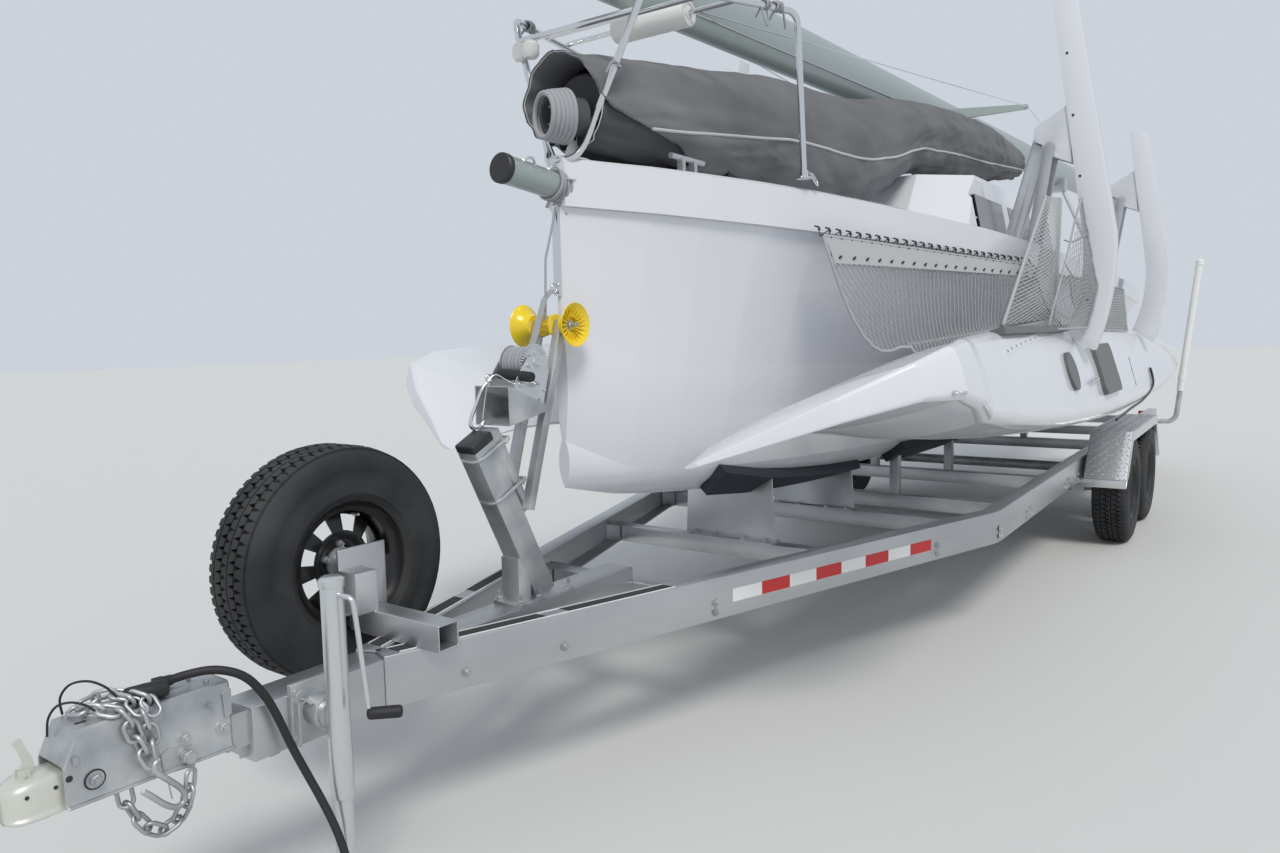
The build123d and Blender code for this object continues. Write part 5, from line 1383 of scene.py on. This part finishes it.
def make_stand_details():
    """U bolts with their plates, and the nuts of the foot plate."""
    bolts = Builder()
    lean = atan2(0.265, 0.528)
    aft = Vector((-cos(lean), 0, sin(lean)))
    leg = 0.0435  # half the width of a U bolt
    for z in (0.965, 1.105):
        middle = at(0.15 + (z - 0.6) * tan(lean), 0, z)
        bolts.tube([middle - aft * forward + PORT * y for forward, y in
                    ((-0.098, leg), (0.02, leg), (0.04, 0.036), (0.0508, 0.02), (0.0508, -0.02),
                     (0.04, -0.036), (0.02, -leg), (-0.098, -leg))], 0.0058, 10)
        for y in (leg, -leg):
            bolts.bolt(middle + aft * 0.086 + PORT * y, aft, 0.0105, 0.009)
        bolts.block(middle + aft * 0.084, (0.006, 0.11, 0.026),
                    Matrix.Rotation(-lean, 3, "Y"))
    for x, y in ((0.052, 0.05), (0.052, -0.05), (0.288, 0.05), (0.288, -0.05), (0.205, 0.052),
                 (0.205, -0.052)):
        spot = at(x, y, 0.6)
        bolts.nut(spot, UP, 0.0165, 0.003, 0.0115, 0.01)
        bolts.tube([spot, spot + UP * 0.032], 0.0056, 10)
    bolts.made("stand_bolts", "zinc", angle=35)


make_pulpit()
make_sprit()
make_roller()
make_winch_details()
make_stand_details()


# ---------------------------------------------------------------- floats, beams and mast trim
TREES = {}
# targets as they show from the camera, each found on the CAD surface along the line of sight
TRACK = [(-1.265, 1.16, 1.367), (-1.409, 1.17, 1.391), (-1.602, 1.18, 1.411),
         (-1.817, 1.19, 1.429), (-2.013, 1.2, 1.44)]
AFT_HOLES = [(-4.278, 1.2, 1.246), (-4.437, 1.2, 1.161), (-4.658, 1.2, 1.055)]
BEAM_HOLES = [(-2.99, 1.024, 2.9), (-2.99, 1.061, 2.575), (-2.99, 1.103, 2.254),
              (-2.99, 1.145, 1.931), (-2.99, 1.154, 1.598)]
FLOAT_BAR = [(-2.64, 1.23, 1.168), (-2.73, 1.23, 1.175), (-2.84, 1.23, 1.183)]
HOSE = [(-5.88, 1.15, 1.098), (-6.048, 1.15, 0.969), (-5.237, 1.18, 0.919),
        (-4.402, 1.2, 0.91), (-3.764, 1.2, 0.886)]
# places from the stem: the ties' paths, and the corners of the gathered net
TIES = [[(-2.9, 1.049, 1.916), (-2.93, 1.088, 1.905), (-2.97, 1.129, 1.931)],
        [(-2.9, 1.052, 1.801), (-2.93, 1.102, 1.715), (-2.97, 1.149, 1.725)],
        [(-2.88, 1.051, 1.6), (-2.93, 1.104, 1.641), (-2.97, 1.15, 1.677)],
        [(-2.86, 1.036, 1.537), (-2.93, 1.093, 1.504), (-2.97, 1.151, 1.64)]]
GATHERED = [(-2.86, 0.963, 2.15), (-2.9, 1.029, 2.137), (-2.72, 1.049, 1.504),
            (-1.98, 0.972, 1.472)]


def on_surface(node, target):
    """Where the line of sight to a target meets a CAD piece, with the normal there."""
    piece, start = NODES[node], at(*EYE)
    if node not in TREES:
        TREES[node] = BVHTree.FromPolygons([piece.matrix_world @ v.co for v in piece.data.vertices],
                                           [p.vertices[:] for p in piece.data.polygons])
    place, normal, _, _ = TREES[node].ray_cast(start, (at(*target) - start).normalized())
    return (place, normal) if place else (at(*target), PORT)


def on_float(targets):
    return [on_surface("port_float", target) for target in targets]


def flipped(builder):
    """The starboard twin of a set of parts."""
    twin = Builder()
    twin.add([Vector((v.x, -v.y, v.z)) for v in builder.vertices],
             [tuple(reversed(face)) for face in builder.faces])
    return twin


def both_sides(builder, name, slot, paint=None, angle=40):
    """Makes the parts for the port float's body, and their twin for the starboard one's."""
    builder.made("port_" + name, slot, "port_float_body", paint, angle)
    flipped(builder).made("stbd_" + name, slot, "stbd_float_body", paint, angle)


def ribbon(builder, spots, width, lift=0.003):
    """A raised strip along (place, normal) pairs."""
    places, faces = [], []
    for i, (place, normal) in enumerate(spots):
        a, b = spots[max(i - 1, 0)][0], spots[min(i + 1, len(spots) - 1)][0]
        across = (b - a).normalized().cross(normal).normalized() * width / 2
        places += [place - across - normal * 0.004, place - across + normal * lift,
                   place + across + normal * lift, place + across - normal * 0.004]
    for i in range(len(spots) - 1):
        faces += [(4 * i + k, 4 * i + k + 1, 4 * i + k + 5, 4 * i + k + 4) for k in range(3)]
    faces += [(3, 2, 1, 0), tuple(4 * (len(spots) - 1) + k for k in range(4))]
    builder.add(places, faces)


def make_float_details():
    """Net track, black discs of painted shade for holes, bars with their posts, hose and net ties of
    the floats.
    """
    spots = on_float(smooth_path(TRACK, 6))
    # Painted shade: thin black discs stand for the holes along the track, aft on the float and in the
    # beam; a black strip also runs along the aft ones.
    rail, hole_shades = Builder(), Builder()
    ribbon(rail, spots, 0.034)
    for place, normal in spots[1:-1:2]:
        hole_shades.tube([place + normal * 0.003, place + normal * 0.0036], 0.0062, 10)
    both_sides(rail, "net_track", "gelcoat")
    aft = on_float(AFT_HOLES)
    for place, normal in aft:
        hole_shades.tube([place, place + normal * 0.0012], 0.009, 8)
    ribbon(hole_shades, aft, 0.018, 0.001)
    for target in BEAM_HOLES:
        place, normal = on_surface("port_beams", target)
        hole_shades.tube([place - normal * 0.001, place + normal * 0.001], 0.0072, 12)
    both_sides(hole_shades, "hole_shades", "black_plastic")
    metal = Builder()
    place, normal = on_surface("port_float", (-0.648, 1.16, 1.249))
    for shift in (-0.022, 0.022):
        base = place + Vector((shift, 0, 0))
        metal.lathe(base - normal * 0.004, normal, [(0.0, 0.0), (0.009, 0.0), (0.008, 0.008),
                                                  (0.004, 0.012), (0.004, 0.02), (0.0, 0.022)], 16)
    metal.tube([place + normal * 0.017 - Vector((0.04, 0, 0)),
                place + normal * 0.017 + Vector((0.04, 0, 0))], 0.0045, 10)
    bar = on_float(FLOAT_BAR)
    metal.tube([v + n * 0.016 for v, n in bar], 0.006, 10)
    for place, normal in bar:
        metal.tube([place - normal * 0.004, place + normal * 0.018], 0.0048, 8)
        metal.bolt(place + normal * 0.002 + Vector((0.015, 0, 0.012)), normal, 0.0085, 0.006)
    both_sides(metal, "float_hardware", "stainless")
    tube = Builder()
    run = on_float(HOSE)
    tube.tube(smooth_path([v + n * 0.008 for v, n in run], 6), 0.008, 10)
    place, normal = run[0]
    tube.lathe(place, normal, [(0.0, 0.0), (0.02, 0.0), (0.02, 0.012), (0.0, 0.016)], 20)
    both_sides(tube, "float_hose", "black_plastic")
    cords = Builder()
    for tie in TIES:
        cords.tube(smooth_path(all_at(tie), 5), 0.0034, 7)
    both_sides(cords, "net_ties", "cord_cloth")


def make_net_band():
    """The net's webbing band below the deck edge, its hooks' eyes, and the gathered net."""
    band, eyes = Builder(), Builder()
    corners = NETS["front"][0]
    for i in range(40):
        rows = [[net_point(corners, u / 40, v, 0.1) + PORT * 0.004
                 for v in (-0.01, 0.06, 0.125)] for u in (i, i + 1)]
        band.add(rows[0] + rows[1], [(0, 1, 4, 3), (1, 2, 5, 4)])
    for i in range(20):
        place = net_point(corners, (i + 0.5) / 20, 0.095, 0.1) + PORT * 0.006
        eyes.tube([place + Vector((-0.01, 0, 0.004)), place + Vector((0.01, 0, -0.004))],
                  0.0046, 6)
    both_sides(band, "net_band", "netting", "webbing", 60)
    both_sides(eyes, "net_eyes", "netting", "grit")
    gathered = Builder()
    a, b, c, d = all_at(GATHERED)
    wide, tall = 9, 30

    def spot(i, j):
        u, v = i / wide, j / tall
        bulge = Vector((0.05, 0.05, -0.02)) * sin(pi * v) * sin(pi * u)
        return a.lerp(b, u).lerp(d.lerp(c, u), v) + bulge
    for start in range(-tall, wide + 1):
        for way in (1, -1):
            line = [spot(start + j if way > 0 else wide - start - j, j) for j in range(tall + 1)
                    if 0 <= start + j <= wide]
            if len(line) > 1:
                gathered.tube(line, 0.0026, 5, caps=False)
    for i in (0, wide):
        gathered.tube([spot(i, j) for j in range(tall + 1)], 0.0085, 7)
    both_sides(gathered, "gathered_net", "netting", "webbing", 180)


for label, _ in SIDES:
    fitting = f"{label}_float_fittings"
    finish_of(NODES[fitting], slot_of(fitting), "hatch_glass")


def make_mast_details():
    """Stays and wires, the mast roller's ends, and the caps of the guide poles."""
    mast_y = -0.08
    wires, piece = Builder(), NODES["spreaders"]
    corners = [piece.matrix_world @ v.co for v in piece.data.vertices]
    for side in (1, -1):
        reach = max(v.y * side for v in corners)
        tip = [v for v in corners if v.y * side > reach - 0.004]
        tip = sum(tip, Vector()) / len(tip)
        y = mast_y + 0.055 * side
        wires.tube([at(-0.95, y, 2.8), tip, at(-9.4, y, 3.262)], 0.003, 6)
        y = mast_y + 0.064 * side
        wires.run([(-0.78, y, 2.772), (-3.8, y, 2.915)], 0.0034, 6)
        wires.washer(tip - Vector((0, 0.004 * side, 0)), (0, side, 0), 0.01, 0.01)
    wires.made("mast_wires", "stainless")
    ends = Builder()
    for side in (1, -1):
        face = at(-0.6, 0.16 * side, 2.6545)
        ends.bolt(face, (0, side, 0), 0.026, 0.01)
        ends.lathe(face, (0, side, 0), [(0.034, 0.0), (0.046, 0.0), (0.046, 0.009),
                                        (0.034, 0.009)], 32)
    ends.made("roller_ends", "white_plastic", paint="white_rope", angle=35)
    caps = Builder()
    for side in (1, -1):
        top, low = at(-8.14, 1.303 * side, 2.062), at(-8.14, 1.177 * side, 0.8)
        caps.tube([top - UP * 0.03, top + UP * 0.016, top + UP * 0.026],
                  [0.0345, 0.0345, 0.024], 24)
        caps.tube([low + Vector((0, 0.01 * side, 0.1)), low + Vector((0, 0.014 * side, 0.15))],
                  0.0345, 24)
    caps.made("guide_caps", "white_plastic")


make_float_details()
make_net_band()
make_mast_details()


# ---------------------------------------------------------------- camera, floor and light
def set_stage():
    """The photo's camera, a pale sky with a soft sun, and a floor under the wheels."""
    yaw, pitch, roll = (radians(angle) for angle in (YAW, PITCH, ROLL))
    ahead = Vector((-cos(yaw) * cos(pitch), -sin(yaw) * cos(pitch), -sin(pitch)))
    right = Vector((-sin(yaw), cos(yaw), 0))
    up = right.cross(ahead)
    side = right * cos(roll) - up * sin(roll)
    top = right * sin(roll) + up * cos(roll)
    data = bpy.data.cameras.new("camera")
    data.sensor_width = 36
    data.lens = LENS
    data.clip_end = 200
    camera = linked("camera", data)
    turn = Matrix((side, top, -ahead)).transposed()
    camera.matrix_world = Matrix.Translation(at(*EYE)) @ turn.to_4x4()
    scene = bpy.context.scene
    scene.camera = camera
    scene.render.resolution_x = 1280
    scene.render.resolution_y = 853
    scene.view_settings.view_transform = "Standard"
    scene.view_settings.look = "None"
    world = bpy.data.worlds.new("sky")
    world.use_nodes = True
    sky = world.node_tree.nodes["Background"]
    sky.inputs["Color"].default_value = (0.8, 0.86, 0.94, 1)
    sky.inputs["Strength"].default_value = 0.75
    scene.world = world
    floor_mesh = bpy.data.meshes.new("floor")
    reach = 60
    floor_mesh.from_pydata([(-reach, -reach, 0), (reach, -reach, 0), (reach, reach, 0),
                            (-reach, reach, 0)], [], [(0, 1, 2, 3)])
    floor = linked("floor", floor_mesh)
    floor.data.materials.append(new_material("floor", (0.62, 0.62, 0.61), 0.9))
    sun_data = bpy.data.lights.new("sun", "SUN")
    sun_data.energy = 1.75
    sun_data.angle = radians(18)
    sun_data.color = (1.0, 0.96, 0.9)
    sun = linked("sun", sun_data)
    sun.rotation_euler = (radians(38), radians(14), radians(118))


set_stage()
